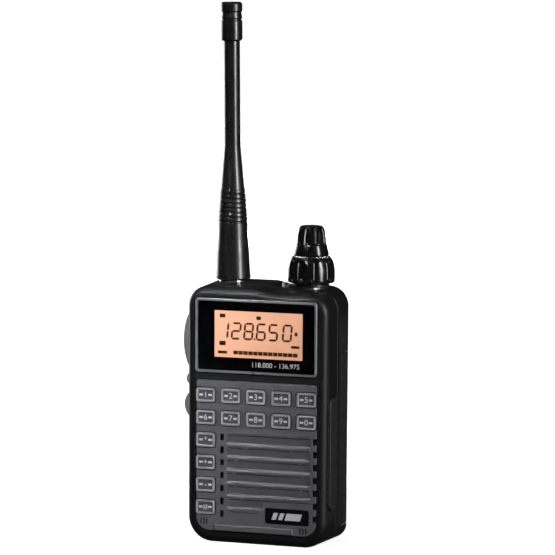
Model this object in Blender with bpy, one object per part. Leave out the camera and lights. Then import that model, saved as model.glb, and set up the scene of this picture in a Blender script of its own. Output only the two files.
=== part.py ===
"""Compact handheld aviation radio: a two-shell body with a battery pack, keypad, display, twin knob and whip antenna.

Frame: +Z up, -Y is the front (display side), +X is the right side seen from the front.
The origin is the middle of the base. Sizes below are in millimetres times MM, so every length is in metres.
"""

import math

import bmesh
import bpy
from mathutils import Matrix, Vector

MM = 0.001

# ---- driving sizes -------------------------------------------------------------------------------------
HALF_W = 24.0 * MM  # half the body's width
BODY_H = 83.0 * MM  # base to top deck, before its slopes
BASE_HALF_W, DECK_HALF_W = 23.65 * MM, 23.8 * MM  # the sides draw in slightly towards the base
DECK_FRONT_RIGHT, DECK_FRONT_LEFT = 82.2 * MM, 83.4 * MM  # the deck's height at the front plane
DECK_BACK_RIGHT, DECK_BACK_LEFT = 83.0 * MM, 84.0 * MM  # at the back, on the knob's and the antenna's side
DECK_STEP_X = (-1.0 * MM, 5.0 * MM)  # where the deck steps down to the knob's side
FRONT_Y = -13.0 * MM  # front plane of the casing
BACK_Y = 13.0 * MM  # back plane of the casing
PARTING_Y = -2.0 * MM  # where the front case meets the rear chassis
SEAM = 0.3 * MM  # gap that two touching pieces keep
WALL = 1.6 * MM
TOP_LEFT_R, TOP_RIGHT_R = 6.2 * MM, 6.5 * MM
BASE_CORNER_R, BASE_CORNER_BACK_R = 8.5 * MM, 3.8 * MM
FRONT_EDGE_R = 2.8 * MM
BACK_EDGE_R = 3.6 * MM
CAVITY_TOP_R = 6.4 * MM
ARC_STEPS = 6  # points on each corner arc

# display
LCD_X = 0.4 * MM
LCD_HALF_W = 14.85 * MM
LCD_LOW, LCD_HIGH = 60.9 * MM, 76.0 * MM
BEZEL_X, BEZEL_HALF_W = -0.25 * MM, 20.55 * MM
BEZEL_LOW, BEZEL_HIGH = 55.8 * MM, 79.9 * MM
BEZEL_RIM = 0.8 * MM
BEZEL_CORNER_R = 1.2 * MM
RECESS_Y = FRONT_Y + 0.9 * MM  # floor of the shallow recesses in the front wall
FRONT_WALL_Y = FRONT_Y + 1.8 * MM  # inner face of the front wall

# control fascia, keys and speaker grille
FASCIA_HALF_W = 20.3 * MM
FASCIA_LOW, FASCIA_HIGH = 4.0 * MM, 53.3 * MM
FASCIA_BASE_R, FASCIA_TOP_R = 4.5 * MM, 0.8 * MM
FASCIA_Y = FRONT_Y - 0.3 * MM  # front face of the fascia
KEY_PITCH_X, KEY_PITCH_Z = 8.5 * MM, 7.33 * MM
KEY_W, KEY_H, KEY_R = 6.5 * MM, 4.7 * MM, 0.9 * MM
KEY_TOP_Z = 48.5 * MM  # centre of the top row
KEY_LEFT_X = -17.0 * MM  # centre of the left column
KEY_FACE_Y = FRONT_Y - 1.0 * MM
KEY_TRAVEL = 0.6 * MM
KEY_ROWS, KEY_COLUMNS = 6, 5  # the top two rows are full, the rest have the left key only
FULL_ROWS = 2
CHANNELS = 7
CHANNEL_PITCH = 4.18 * MM
CHANNEL_TOP_Z = 35.75 * MM  # middle of the top slot
CHANNEL_H = 0.3 * MM
GRILLE_LEFT, GRILLE_RIGHT = -9.9 * MM, 18.3 * MM
RIB_Y = FRONT_Y - 0.9 * MM
SPEAKER_X, SPEAKER_Z, SPEAKER_R = 3.5 * MM, 22.5 * MM, 13.2 * MM
PLATE_X = (3.4 * MM, 17.8 * MM)  # blank name plate
PLATE_Z = (7.7 * MM, 12.6 * MM)

# rear chassis and battery
BAY_LOW, BAY_HIGH = 5.0 * MM, 62.0 * MM  # battery bay
BAY_Y = 3.0 * MM  # floor of the bay
BATTERY_TRAY_Y = 5.0 * MM
BATTERY_WALL = 1.3 * MM
CATCH_HALF_W = 7.5 * MM
CATCH_Z = BAY_HIGH - 1.8 * MM  # floor of the notch that the latch's tooth reaches into
CATCH_LIP_Y = 10.0 * MM
LATCH_HALF_W = 7.0 * MM
LATCH_LOW, LATCH_HIGH = 63.0 * MM, 69.5 * MM
LATCH_TRAVEL = 2.0 * MM
LATCH_SLOT_Y = 10.0 * MM
SPRING_Z = (69.8 * MM, 75.0 * MM)
SPRING_Y = 11.3 * MM
SCREWS = ((-16.5 * MM, 69.5 * MM, BACK_Y), (16.5 * MM, 69.5 * MM, BACK_Y), (0.0, 10.0 * MM, BAY_Y))  # x, z, face

# top deck
ANTENNA_X, KNOB_X, TOP_Y = -13.25 * MM, 13.35 * MM, 2.5 * MM
WHIP_BASE_Z = 84.7 * MM
WHIP_TOP_Z = 161.6 * MM
TIP_TOP_Z = 174.4 * MM
ANTENNA_LEAN = -0.6  # degrees about the Y axis, towards the left side
RIBS, RIB_PITCH, RIB_LOW_Z = 7, 1.5 * MM, 103.2 * MM  # fine ribs above the sheath's plain foot
RIB_LOW_R, RIB_HIGH_R = 4.8 * MM, 4.15 * MM
KNOB_BASE_Z = 84.6 * MM
INDICATOR_X, INDICATOR_Y = 4.6 * MM, 3.0 * MM

# side controls: (low z, high z, how far the crown stands out of the side)
SIDE_BUTTONS = {
    "ptt_button": (56.9 * MM, 74.3 * MM, 2.6 * MM),
    "monitor_button": (51.0 * MM, 54.6 * MM, 1.5 * MM),
    "lamp_button": (40.6 * MM, 48.2 * MM, 2.2 * MM),
}
SIDE_BUTTON_Y = (-9.4 * MM, -3.2 * MM)
SIDE_BUTTON_INNER_X = -21.2 * MM
COVER_Z = (12.4 * MM, 48.8 * MM)  # rubber cover over the audio jacks
COVER_Y = (-11.2 * MM, -3.6 * MM)
JACK_Z = (33.0 * MM, 42.0 * MM)  # the two jacks' centres
JACK_Y = -7.0 * MM


# ---- scene and materials -------------------------------------------------------------------------------
def clear_scene():
    for obj in list(bpy.data.objects):
        bpy.data.objects.remove(obj)


def material(name, colour, roughness, metallic=0.0):
    mat = bpy.data.materials.new(name)
    mat.use_nodes = True
    shader = mat.node_tree.nodes["Principled BSDF"]
    shader.inputs["Base Color"].default_value = (*colour, 1.0)
    shader.inputs["Roughness"].default_value = roughness
    shader.inputs["Metallic"].default_value = metallic
    mat.diffuse_color = (*colour, 1.0)
    return mat


clear_scene()
CASE = material("case_black", (0.022, 0.022, 0.023), 0.42)
FASCIA = material("fascia_grey", (0.10, 0.10, 0.105), 0.38)
KEYCAP = material("keycap", (0.16, 0.16, 0.18), 0.45)
BEZEL = material("bezel_silver", (0.30, 0.31, 0.33), 0.30, 0.6)
LENS = material("clear_lens", (0.75, 0.75, 0.75), 0.05)
BLACK = material("gloss_black", (0.006, 0.006, 0.007), 0.12)
AMBER = material("lcd_amber", (0.90, 0.45, 0.25), 0.5)
RUBBER = material("rubber", (0.018, 0.018, 0.018), 0.65)
SIDE_RUBBER = material("side_rubber", (0.09, 0.09, 0.09), 0.6)
NICKEL = material("nickel", (0.72, 0.71, 0.69), 0.22, 1.0)
BRASS = material("contact_gold", (0.80, 0.58, 0.25), 0.3, 1.0)
BOARD = material("board_green", (0.03, 0.16, 0.07), 0.5)
STEEL = material("steel", (0.55, 0.55, 0.57), 0.35, 1.0)
CONE = material("speaker_cone", (0.03, 0.03, 0.03), 0.8)
CELL = material("cell_wrap", (0.10, 0.22, 0.42), 0.4)


# ---- geometry helpers ----------------------------------------------------------------------------------
def new_object(name, bm, mat, smooth_angle=35.0):
    """A scene object from a bmesh, with its faces turned outwards."""
    bmesh.ops.recalc_face_normals(bm, faces=bm.faces)
    mesh = bpy.data.meshes.new(name)
    bm.to_mesh(mesh)
    bm.free()
    mesh.materials.append(mat)
    mesh.shade_smooth()
    mesh.set_sharp_from_angle(angle=math.radians(smooth_angle))
    obj = bpy.data.objects.new(name, mesh)
    bpy.context.scene.collection.objects.link(obj)
    return obj


def add_loft(bm, rings):
    """Skins rings of equal length into one closed body, with a flat cap at each end."""
    rows = [[bm.verts.new(p) for p in ring] for ring in rings]
    for low, high in zip(rows, rows[1:]):
        for i in range(len(low)):
            j = (i + 1) % len(low)
            bm.faces.new((low[i], low[j], high[j], high[i]))
    bm.faces.new(rows[0])
    bm.faces.new(rows[-1])


def arc(x, z, radius, start, steps=ARC_STEPS):
    """A quarter circle of points (x, z) about a centre, from a start angle in degrees."""
    angles = [math.radians(start + 90 * i / steps) for i in range(steps + 1)]
    return [(x + radius * math.cos(a), z + radius * math.sin(a)) for a in angles]


def outline(half_w, low, high, low_r, high_r, centre_x=0.0, inset=0.0, steps=ARC_STEPS):
    """Corner points (x, z) of an upright rounded rectangle, taken in by inset all round."""
    half_w, low, high = half_w - inset, low + inset, high - inset
    low_r, high_r = max(low_r - inset, 0.05 * MM), max(high_r - inset, 0.05 * MM)
    return (
        arc(centre_x + half_w - low_r, low + low_r, low_r, -90, steps)
        + arc(centre_x + half_w - high_r, high - high_r, high_r, 0, steps)
        + arc(centre_x - half_w + high_r, high - high_r, high_r, 90, steps)
        + arc(centre_x - half_w + low_r, low + low_r, low_r, 180, steps)
    )


def body_outline(y, inset=0.0):
    """The casing's outline at depth y: a rounded, slightly tapered block whose deck slopes and steps."""
    back = (y - FRONT_Y) / (BACK_Y - FRONT_Y)
    right_top = DECK_FRONT_RIGHT + (DECK_BACK_RIGHT - DECK_FRONT_RIGHT) * back - inset
    left_top = DECK_FRONT_LEFT + (DECK_BACK_LEFT - DECK_FRONT_LEFT) * back - inset
    base_r = max(BASE_CORNER_R + (BASE_CORNER_BACK_R - BASE_CORNER_R) * back - inset, 0.05 * MM)
    base_x, deck_x = BASE_HALF_W - inset, DECK_HALF_W - inset
    left_r, right_r = TOP_LEFT_R - inset, TOP_RIGHT_R - inset
    step = [
        (DECK_STEP_X[1] + (DECK_STEP_X[0] - DECK_STEP_X[1]) * t, right_top + (left_top - right_top) * rise)
        for t, rise in ((0.0, 0.0), (0.35, 0.25), (0.65, 0.75), (1.0, 1.0))
    ]
    return (
        arc(base_x - base_r, inset + base_r, base_r, -90)
        + arc(deck_x - right_r, right_top - right_r, right_r, 0)
        + step
        + arc(-deck_x + left_r, left_top - left_r, left_r, 90)
        + arc(-base_x + base_r, inset + base_r, base_r, 180)
    )


def body_block(name, mat, rings):
    """A slice of the casing, skinned over (inset, y) rings of its outline."""
    bm = bmesh.new()
    add_loft(bm, [at_y(body_outline(y, inset), y) for inset, y in rings])
    twisted = [face for face in bm.faces if len(face.verts) == 4]
    bmesh.ops.triangulate(bm, faces=twisted)
    return new_object(name, bm, mat)


def at_y(points, y):
    return [Vector((x, y, z)) for x, z in points]


def edge_insets(radius, steps):
    """(inset, distance from the face) along a quarter round edge, from the face to the side."""
    angles = [math.pi / 2 * i / steps for i in range(steps + 1)]
    return [(radius * (1 - math.sin(a)), radius * (1 - math.cos(a))) for a in angles]


def slab(name, mat, half_w, low, high, radii, y_span, front_r=0.0, back_r=0.0, centre_x=0.0, steps=ARC_STEPS):
    """A rounded rectangle standing in XZ and thick along Y, with a round front or back edge if asked."""
    front, back = y_span
    front_rings = [(i, front + d) for i, d in edge_insets(front_r, 3)] if front_r else [(0, front)]
    back_rings = [(i, back - d) for i, d in edge_insets(back_r, 3)] if back_r else [(0, back)]
    bm = bmesh.new()
    add_loft(
        bm,
        [
            at_y(outline(half_w, low, high, *radii, centre_x, inset, steps), y)
            for inset, y in front_rings + back_rings[::-1]
        ],
    )
    return new_object(name, bm, mat)


def add_box(bm, low, high):
    """An axis-aligned box between two corners."""
    size = [b - a for a, b in zip(low, high)]
    middle = Vector([(a + b) / 2 for a, b in zip(low, high)])
    matrix = Matrix.Translation(middle) @ Matrix.Diagonal((*size, 1))
    bmesh.ops.create_cube(bm, size=1.0, matrix=matrix)


def boxes(name, mat, spans, bevel=0.0):
    """One object of separate boxes, each given as ((x0, x1), (y0, y1), (z0, z1))."""
    bm = bmesh.new()
    for span in spans:
        add_box(bm, [s[0] for s in span], [s[1] for s in span])
    if bevel:
        bmesh.ops.bevel(bm, geom=bm.edges[:], offset=bevel, segments=2, profile=0.5, affect="EDGES")
    return new_object(name, bm, mat)


def turned(name, mat, profile, centre, axis="Z", sides=32):
    """Turns a closed profile of (radius, height) about an axis through centre, as the Screw tool would."""
    bm = bmesh.new()
    rows = []
    for r, h in profile:
        count = 1 if r == 0 else sides
        ring = []
        for i in range(count):
            a = 2 * math.pi * i / sides
            u, v = r * math.cos(a), r * math.sin(a)
            place = {"Z": (u, v, h), "Y": (u, h, v), "X": (h, u, v)}[axis]
            ring.append(bm.verts.new(Vector(centre) + Vector(place)))
        rows.append(ring)
    for this, after in zip(rows, rows[1:] + rows[:1]):
        if len(this) == 1 and len(after) == 1:
            continue
        for i in range(sides):
            j = (i + 1) % sides
            loop = [this[i % len(this)], this[j % len(this)], after[j % len(after)], after[i % len(after)]]
            bm.faces.new(list(dict.fromkeys(loop)))
    return new_object(name, bm, mat)


def cylinder(name, mat, centre, radius, span, axis="Z", sides=24):
    low, high = span
    return turned(name, mat, [(0, low), (radius, low), (radius, high), (0, high)], centre, axis, sides)


def use(operation, target, other):
    """Applies a helper object to target with a Boolean modifier and hides the helper."""
    other.hide_render = True
    other.display_type = "WIRE"
    modifier = target.modifiers.new(other.name, "BOOLEAN")
    modifier.operation = operation
    modifier.object = other
    return target


def cut(target, *others):
    for other in others:
        use("DIFFERENCE", target, other)
    return target


def place_origin(obj, point):
    """Moves the object's origin to point and leaves its shape where it is."""
    point = Vector(point)
    obj.data.transform(Matrix.Translation(-point))
    obj.location = point
    return obj


# ---- layout --------------------------------------------------------------------------------------------
def key_places():
    """Centres (x, z) of the fourteen keys: two full rows, then the left column."""
    places = []
    for row in range(KEY_ROWS):
        for column in range(KEY_COLUMNS if row < FULL_ROWS else 1):
            places.append((KEY_LEFT_X + column * KEY_PITCH_X, KEY_TOP_Z - row * KEY_PITCH_Z))
    return places


def channel_zs():
    return [CHANNEL_TOP_Z - i * CHANNEL_PITCH for i in range(CHANNELS)]


def channel_right(z):
    """Where a grille channel ends: short of the name plate on the lowest one."""
    return PLATE_X[0] - 0.8 * MM if z < PLATE_Z[1] else GRILLE_RIGHT


def key_windows(name, clearance, y_span):
    """One cutter with a rounded window for each key."""
    bm = bmesh.new()
    for x, z in key_places():
        half_w, half_h = KEY_W / 2 + clearance, KEY_H / 2 + clearance
        points = outline(half_w, z - half_h, z + half_h, KEY_R, KEY_R, x, 0.0, 3)
        add_loft(bm, [at_y(points, y) for y in y_span])
    return new_object(name, bm, CASE)


# ---- front half ----------------------------------------------------------------------------------------
def build_front_case():
    front_edge = [(inset, FRONT_Y + depth) for inset, depth in edge_insets(FRONT_EDGE_R, 3)]
    case = body_block("front_case", CASE, [*front_edge, (0.0, PARTING_Y)])
    cavity = slab(
        "cut_front_cavity", CASE, HALF_W - WALL, WALL, BODY_H - WALL,
        (BASE_CORNER_R - WALL, CAVITY_TOP_R), (FRONT_WALL_Y, PARTING_Y + 1 * MM), FRONT_EDGE_R - WALL,
    )
    fascia_seat = slab(
        "cut_fascia_seat", CASE, FASCIA_HALF_W + SEAM, FASCIA_LOW - SEAM, FASCIA_HIGH + SEAM,
        (FASCIA_BASE_R + SEAM, FASCIA_TOP_R + SEAM), (FRONT_Y - 1 * MM, RECESS_Y),
    )
    bezel_seat = slab(
        "cut_bezel_seat", CASE, BEZEL_HALF_W + SEAM, BEZEL_LOW - SEAM, BEZEL_HIGH + SEAM,
        (BEZEL_CORNER_R + SEAM,) * 2, (FRONT_Y - 1 * MM, RECESS_Y), centre_x=BEZEL_X,
    )
    openings = boxes(
        "cut_front_openings", CASE,
        [
            ((LCD_X - 16.8 * MM, LCD_X + 16.8 * MM), (FRONT_Y - 1 * MM, FRONT_WALL_Y + 1 * MM), (58.9 * MM, 77.9 * MM)),
            ((15.9 * MM, 16.1 * MM), (FRONT_Y, FRONT_WALL_Y + 1 * MM), (5.0 * MM, 6.4 * MM)),
        ],
    )
    speaker_hole = cylinder(
        "cut_speaker_hole", CASE, (SPEAKER_X, 0, SPEAKER_Z), SPEAKER_R - 0.8 * MM,
        (FRONT_Y, FRONT_WALL_Y + 1 * MM), "Y", 32,
    )
    side_slots = boxes(
        "cut_side_slots", CASE,
        [
            ((-HALF_W - 1 * MM, -HALF_W + 3 * MM), (SIDE_BUTTON_Y[0] - SEAM, SIDE_BUTTON_Y[1] + SEAM),
             (low - SEAM, high + SEAM))
            for low, high, _ in SIDE_BUTTONS.values()
        ],
    )
    cover_seat = boxes(
        "cut_cover_seat", CASE,
        [((HALF_W - 0.9 * MM, HALF_W + 1 * MM), (COVER_Y[0] - SEAM, COVER_Y[1] + SEAM),
          (COVER_Z[0] - SEAM, COVER_Z[1] + SEAM))],
    )
    jack_holes = [
        cylinder(f"cut_jack_hole_{i}", CASE, (0, JACK_Y, z), 2.9 * MM, (HALF_W - 4 * MM, HALF_W + 1 * MM), "X")
        for i, z in enumerate(JACK_Z)
    ]
    keys = key_windows("cut_case_keys", 0.35 * MM, (FRONT_Y, FRONT_WALL_Y + 1 * MM))
    cut(case, cavity, fascia_seat, bezel_seat, openings, speaker_hole, side_slots, cover_seat, *jack_holes, keys)


def build_fascia():
    fascia = slab(
        "control_fascia", FASCIA, FASCIA_HALF_W, FASCIA_LOW, FASCIA_HIGH, (FASCIA_BASE_R, FASCIA_TOP_R),
        (FASCIA_Y, RECESS_Y - 0.2 * MM), 0.25 * MM,
    )
    ribs = [
        ((GRILLE_LEFT, channel_right(z)), (RIB_Y, FASCIA_Y + 0.5 * MM), (z + 0.2 * MM, z + 1.4 * MM))
        for z in channel_zs()
    ]
    lip = ((-14.2 * MM, 12.7 * MM), (RIB_Y + 0.2 * MM, FASCIA_Y + 0.5 * MM), (4.15 * MM, 6.35 * MM))
    use("UNION", fascia, boxes("add_ribs", FASCIA, [*ribs, lip], 0.2 * MM))

    through = (FRONT_Y - 2 * MM, FRONT_Y + 3 * MM)
    holes = []
    for z in channel_zs():
        pocket = (z - 1.95 * MM, z + 0.25 * MM)
        slot = (z - CHANNEL_H / 2, z + CHANNEL_H / 2)
        holes.append(((GRILLE_LEFT + 0.2 * MM, channel_right(z) - 0.2 * MM), through, slot))
        holes.append(((GRILLE_LEFT - 2.25 * MM, GRILLE_LEFT - 0.95 * MM), through, pocket))
        holes.append(((GRILLE_RIGHT + 0.7 * MM, FASCIA_HALF_W + 1 * MM), through, pocket))
    for middle, low in ((16.0 * MM, 4.7 * MM), (-17.7 * MM, 6.1 * MM)):
        for x in (middle - 1 * MM, middle, middle + 1 * MM):
            holes.append(((x - 0.22 * MM, x + 0.22 * MM), through, (low, low + 2.1 * MM)))
    plate_seat = boxes(
        "cut_plate_seat", FASCIA,
        [((PLATE_X[0] - 0.2 * MM, PLATE_X[1] + 0.2 * MM), (FRONT_Y - 2 * MM, FASCIA_Y + 0.4 * MM),
          (PLATE_Z[0] - 0.2 * MM, PLATE_Z[1] + 0.2 * MM))],
    )
    cut(fascia, boxes("cut_grille", FASCIA, holes), key_windows("cut_fascia_keys", 0.3 * MM, through), plate_seat)
    slab(
        "name_plate", BLACK, (PLATE_X[1] - PLATE_X[0]) / 2, *PLATE_Z, (0.4 * MM,) * 2,
        (FASCIA_Y - 0.1 * MM, FASCIA_Y + 0.3 * MM), centre_x=sum(PLATE_X) / 2, steps=2,
    )


def build_keys():
    """Fourteen caps, each with a flange behind the front wall that keeps it in."""
    flange = 0.55 * MM
    for number, (x, z) in enumerate(key_places(), 1):
        bm = bmesh.new()
        sections = [
            (0.5 * MM, KEY_FACE_Y), (0.15 * MM, KEY_FACE_Y + 0.15 * MM), (0.0, KEY_FACE_Y + 0.5 * MM),
            (0.0, FRONT_WALL_Y + SEAM), (-flange, FRONT_WALL_Y + SEAM), (-flange, FRONT_WALL_Y + 0.9 * MM),
        ]
        rings = [
            at_y(outline(KEY_W / 2, z - KEY_H / 2, z + KEY_H / 2, KEY_R, KEY_R, x, inset, 3), y)
            for inset, y in sections
        ]
        add_loft(bm, rings)
        key = new_object(f"key_{number:02d}", bm, KEYCAP)
        place_origin(key, (x, KEY_FACE_Y, z))


def build_display():
    rim_y = (FRONT_Y - 0.5 * MM, RECESS_Y - 0.2 * MM)
    bezel = slab(
        "display_bezel", BEZEL, BEZEL_HALF_W, BEZEL_LOW, BEZEL_HIGH, (BEZEL_CORNER_R,) * 2, rim_y, 0.25 * MM,
        centre_x=BEZEL_X, steps=3,
    )
    inner = slab(
        "cut_bezel_inner", BEZEL, BEZEL_HALF_W - BEZEL_RIM, BEZEL_LOW + BEZEL_RIM, BEZEL_HIGH - BEZEL_RIM,
        (0.5 * MM,) * 2, (rim_y[0] - 1 * MM, rim_y[1] + 1 * MM), centre_x=BEZEL_X, steps=3,
    )
    cut(bezel, inner)
    lens_half_w = BEZEL_HALF_W - BEZEL_RIM - 0.2 * MM
    lens_low, lens_high = BEZEL_LOW + BEZEL_RIM + 0.2 * MM, BEZEL_HIGH - BEZEL_RIM - 0.2 * MM
    slab(
        "window_lens", LENS, lens_half_w, lens_low, lens_high, (0.4 * MM,) * 2,
        (FRONT_Y - 0.2 * MM, FRONT_Y + 0.45 * MM), 0.15 * MM, centre_x=BEZEL_X, steps=2,
    )
    mask = slab(
        "window_mask", BLACK, lens_half_w, lens_low, lens_high, (0.4 * MM,) * 2,
        (FRONT_Y + 0.5 * MM, FRONT_Y + 0.8 * MM), centre_x=BEZEL_X, steps=2,
    )
    cut(mask, boxes("cut_mask", BLACK, [((LCD_X - LCD_HALF_W, LCD_X + LCD_HALF_W), (FRONT_Y, FRONT_WALL_Y),
                                         (LCD_LOW, LCD_HIGH))]))
    margin = 1.4 * MM
    glass = ((LCD_X - LCD_HALF_W - margin, LCD_X + LCD_HALF_W + margin), (-12.0 * MM, -10.6 * MM),
             (LCD_LOW - margin, LCD_HIGH + margin))
    boxes("lcd_panel", AMBER, [glass])
    boxes("lcd_backlight", AMBER, [(glass[0], (-10.4 * MM, -8.9 * MM), glass[2])])


def build_front_internals():
    """The electronics between the front case and the chassis."""
    board = boxes("main_board", BOARD, [((-19.8 * MM, 20.3 * MM), (-8.2 * MM, -7.2 * MM), (4.0 * MM, 78.5 * MM))])
    cut(board, cylinder("cut_board_speaker", BOARD, (SPEAKER_X, 0, SPEAKER_Z), SPEAKER_R + 0.5 * MM,
                        (-10 * MM, -5 * MM), "Y", 32))
    boxes("rf_shield", STEEL, [((-16.0 * MM, 18.0 * MM), (-6.9 * MM, -3.6 * MM), (47.0 * MM, 74.0 * MM))], 0.4 * MM)

    sheet_y = (-9.4 * MM, -8.6 * MM)
    bm = bmesh.new()
    corner_x, corner_z = -12.0 * MM, 37.0 * MM
    right, top, left, low = 20.6 * MM, 51.6 * MM, -20.0 * MM, 8.0 * MM
    ell = [(left, low), (corner_x, low), (corner_x, corner_z), (right, corner_z), (right, top), (left, top)]
    add_loft(bm, [at_y(ell, y) for y in sheet_y])
    new_object("keypad_membrane", bm, RUBBER)

    place = (SPEAKER_X, 0, SPEAKER_Z)
    front = -11.0 * MM
    frame_profile = [
        (SPEAKER_R, front), (SPEAKER_R, front + 1.2 * MM), (8.8 * MM, front + 4.2 * MM), (7.0 * MM, front + 4.2 * MM),
        (7.0 * MM, front + 3.6 * MM), (SPEAKER_R - 1.6 * MM, front + 1.0 * MM), (SPEAKER_R - 1.6 * MM, front),
    ]
    turned("speaker_frame", STEEL, frame_profile, place, "Y")
    cone_profile = [
        (11.2 * MM, front), (11.2 * MM, front + 0.5 * MM), (4.0 * MM, front + 2.6 * MM), (0, front + 1.9 * MM),
        (0, front + 1.4 * MM), (4.0 * MM, front + 2.1 * MM), (10.6 * MM, front),
    ]
    turned("speaker_cone", CONE, cone_profile, place, "Y")
    cylinder("speaker_magnet", STEEL, place, 6.6 * MM, (front + 3.0 * MM, front + 7.4 * MM), "Y", 32)
    cylinder("microphone", NICKEL, (16.0 * MM, 0, 6.2 * MM), 2.0 * MM, (-11.0 * MM, -8.6 * MM), "Y", 20)

    switches = [((-20.1 * MM, -19.0 * MM), (-6.4 * MM, -3.6 * MM), (mid - 1.4 * MM, mid + 1.4 * MM))
                for mid in ((low + high) / 2 for low, high, _ in SIDE_BUTTONS.values())]
    side_board = boxes("side_switch_board", BOARD, [((-19.2 * MM, -18.2 * MM), (-6.8 * MM, -2.6 * MM),
                                                     (38.0 * MM, 72.0 * MM))])
    use("UNION", side_board, boxes("add_side_switches", STEEL, switches))


def build_side_controls():
    """Push-to-talk and the two side buttons on the left, and the jack cover on the right."""
    for name, (low, high, crown) in SIDE_BUTTONS.items():
        steps = 8
        flange_z, flange_x = 0.9 * MM, SIDE_BUTTON_INNER_X - 0.9 * MM
        profile = [
            (flange_x, high), (flange_x, high + flange_z), (SIDE_BUTTON_INNER_X, high + flange_z),
            (SIDE_BUTTON_INNER_X, low - flange_z), (flange_x, low - flange_z), (flange_x, low),
        ]
        for i in range(steps + 1):
            t = i / steps
            rise = 0.3 * MM + (crown - 0.3 * MM) * math.sin(math.pi * t) ** 0.6
            profile.append((-HALF_W - rise, low + (high - low) * t))
        bm = bmesh.new()
        edge = 0.5 * MM
        shrunk = [(x + edge if x < -HALF_W else x, z) for x, z in profile]
        y0, y1 = SIDE_BUTTON_Y
        add_loft(bm, [at_y(shrunk, y0), at_y(profile, y0 + edge), at_y(profile, y1 - edge), at_y(shrunk, y1)])
        button = new_object(name, bm, SIDE_RUBBER)
        place_origin(button, (-HALF_W, sum(SIDE_BUTTON_Y) / 2, (low + high) / 2))

    half = (COVER_Y[1] - COVER_Y[0]) / 2
    middle = sum(COVER_Y) / 2
    bm = bmesh.new()
    rings = []
    for inset, x in ((0.0, HALF_W - 0.6 * MM), (0.0, HALF_W + 0.2 * MM), (0.4 * MM, HALF_W + 0.6 * MM)):
        points = outline(half, *COVER_Z, 2.4 * MM, 2.4 * MM, middle, inset, 4)
        rings.append([Vector((x, y, z)) for y, z in points])
    add_loft(bm, rings)
    cover = new_object("jack_cover", bm, RUBBER)
    place_origin(cover, (HALF_W, middle, COVER_Z[0]))

    block = boxes("audio_jack", BLACK, [((15.5 * MM, HALF_W - WALL - 0.2 * MM), (JACK_Y + 0.1 * MM, -3.2 * MM),
                                         (29.0 * MM, 46.0 * MM))])
    for i, z in enumerate(JACK_Z):
        sleeve = cylinder(f"add_jack_{i}", NICKEL, (0, JACK_Y + 2.2 * MM, z), 1.75 * MM,
                          (HALF_W - 5 * MM, HALF_W + 1 * MM), "X", 20)
        cut(block, sleeve)


# ---- top deck ------------------------------------------------------------------------------------------
def build_antenna():
    centre = (ANTENNA_X, TOP_Y, 0)
    socket = [
        (0, 76.0 * MM), (3.3 * MM, 76.0 * MM), (3.3 * MM, 79.4 * MM), (4.5 * MM, 79.4 * MM), (4.5 * MM, 80.8 * MM),
        (3.3 * MM, 80.8 * MM), (3.3 * MM, 83.95 * MM), (4.6 * MM, 83.95 * MM), (4.6 * MM, 84.35 * MM),
        (4.4 * MM, 84.5 * MM), (3.05 * MM, 84.5 * MM), (3.05 * MM, 90.5 * MM),
        (1.2 * MM, 90.5 * MM), (1.2 * MM, 87.0 * MM), (0, 87.0 * MM),
    ]
    stud = turned("antenna_socket", NICKEL, socket, centre)
    nut = [
        (0, 92.6 * MM), (0, 91.0 * MM), (3.4 * MM, 91.0 * MM), (3.4 * MM, 85.0 * MM), (4.5 * MM, 85.0 * MM),
        (4.5 * MM, 92.6 * MM),
    ]
    connector = turned("antenna_connector", NICKEL, nut, centre)
    element = [(0, 93.0 * MM), (0.8 * MM, 93.0 * MM), (0.8 * MM, 158.5 * MM), (0, 158.5 * MM)]
    rod = turned("antenna_element", BRASS, element, centre, sides=12)

    outer = [
        (5.5 * MM, WHIP_BASE_Z), (5.75 * MM, WHIP_BASE_Z + 0.3 * MM), (5.55 * MM, 87.4 * MM), (5.3 * MM, 93.3 * MM),
        (4.93 * MM, 98.0 * MM), (4.8 * MM, 103.0 * MM),
    ]
    for i in range(RIBS):
        low, radius = RIB_LOW_Z + RIB_PITCH * i, RIB_LOW_R + (RIB_HIGH_R - RIB_LOW_R) * i / (RIBS - 1)
        outer += [
            (radius - 0.25 * MM, low), (radius - 0.25 * MM, low + 0.4 * MM), (radius, low + 0.5 * MM),
            (radius - 0.05 * MM, low + RIB_PITCH),
        ]
    outer += [(3.95 * MM, 113.9 * MM), (3.3 * MM, 121.0 * MM), (2.66 * MM, 128.0 * MM), (2.62 * MM, 140.0 * MM),
              (2.62 * MM, WHIP_TOP_Z)]
    bore = [(0, WHIP_TOP_Z), (0, 160.0 * MM), (1.2 * MM, 160.0 * MM), (1.2 * MM, 93.0 * MM), (4.8 * MM, 93.0 * MM),
            (4.8 * MM, WHIP_BASE_Z)]
    sheath = turned("antenna_sheath", RUBBER, outer + bore, centre, sides=20)

    cap_r, cap_low = 3.47 * MM, WHIP_TOP_Z + SEAM
    cap = [(0, cap_low), (cap_r - 0.2 * MM, cap_low), (cap_r, cap_low + 0.2 * MM), (cap_r, 168.3 * MM)]
    for groove_z in (168.3 * MM, 170.6 * MM):
        cap += [(cap_r - 0.3 * MM, groove_z + 0.1 * MM), (cap_r - 0.3 * MM, groove_z + 0.7 * MM),
                (cap_r, groove_z + 0.8 * MM)]
    cap += [(cap_r, 173.2 * MM), (cap_r - 0.35 * MM, 173.9 * MM), (cap_r - 1.1 * MM, TIP_TOP_Z), (0, TIP_TOP_Z)]
    tip = turned("antenna_tip_cap", RUBBER, cap, centre, sides=20)
    for piece in (stud, connector, rod, sheath, tip):
        place_origin(piece, (ANTENNA_X, TOP_Y, WHIP_BASE_Z))
        piece.rotation_euler.y = math.radians(ANTENNA_LEAN)


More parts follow.
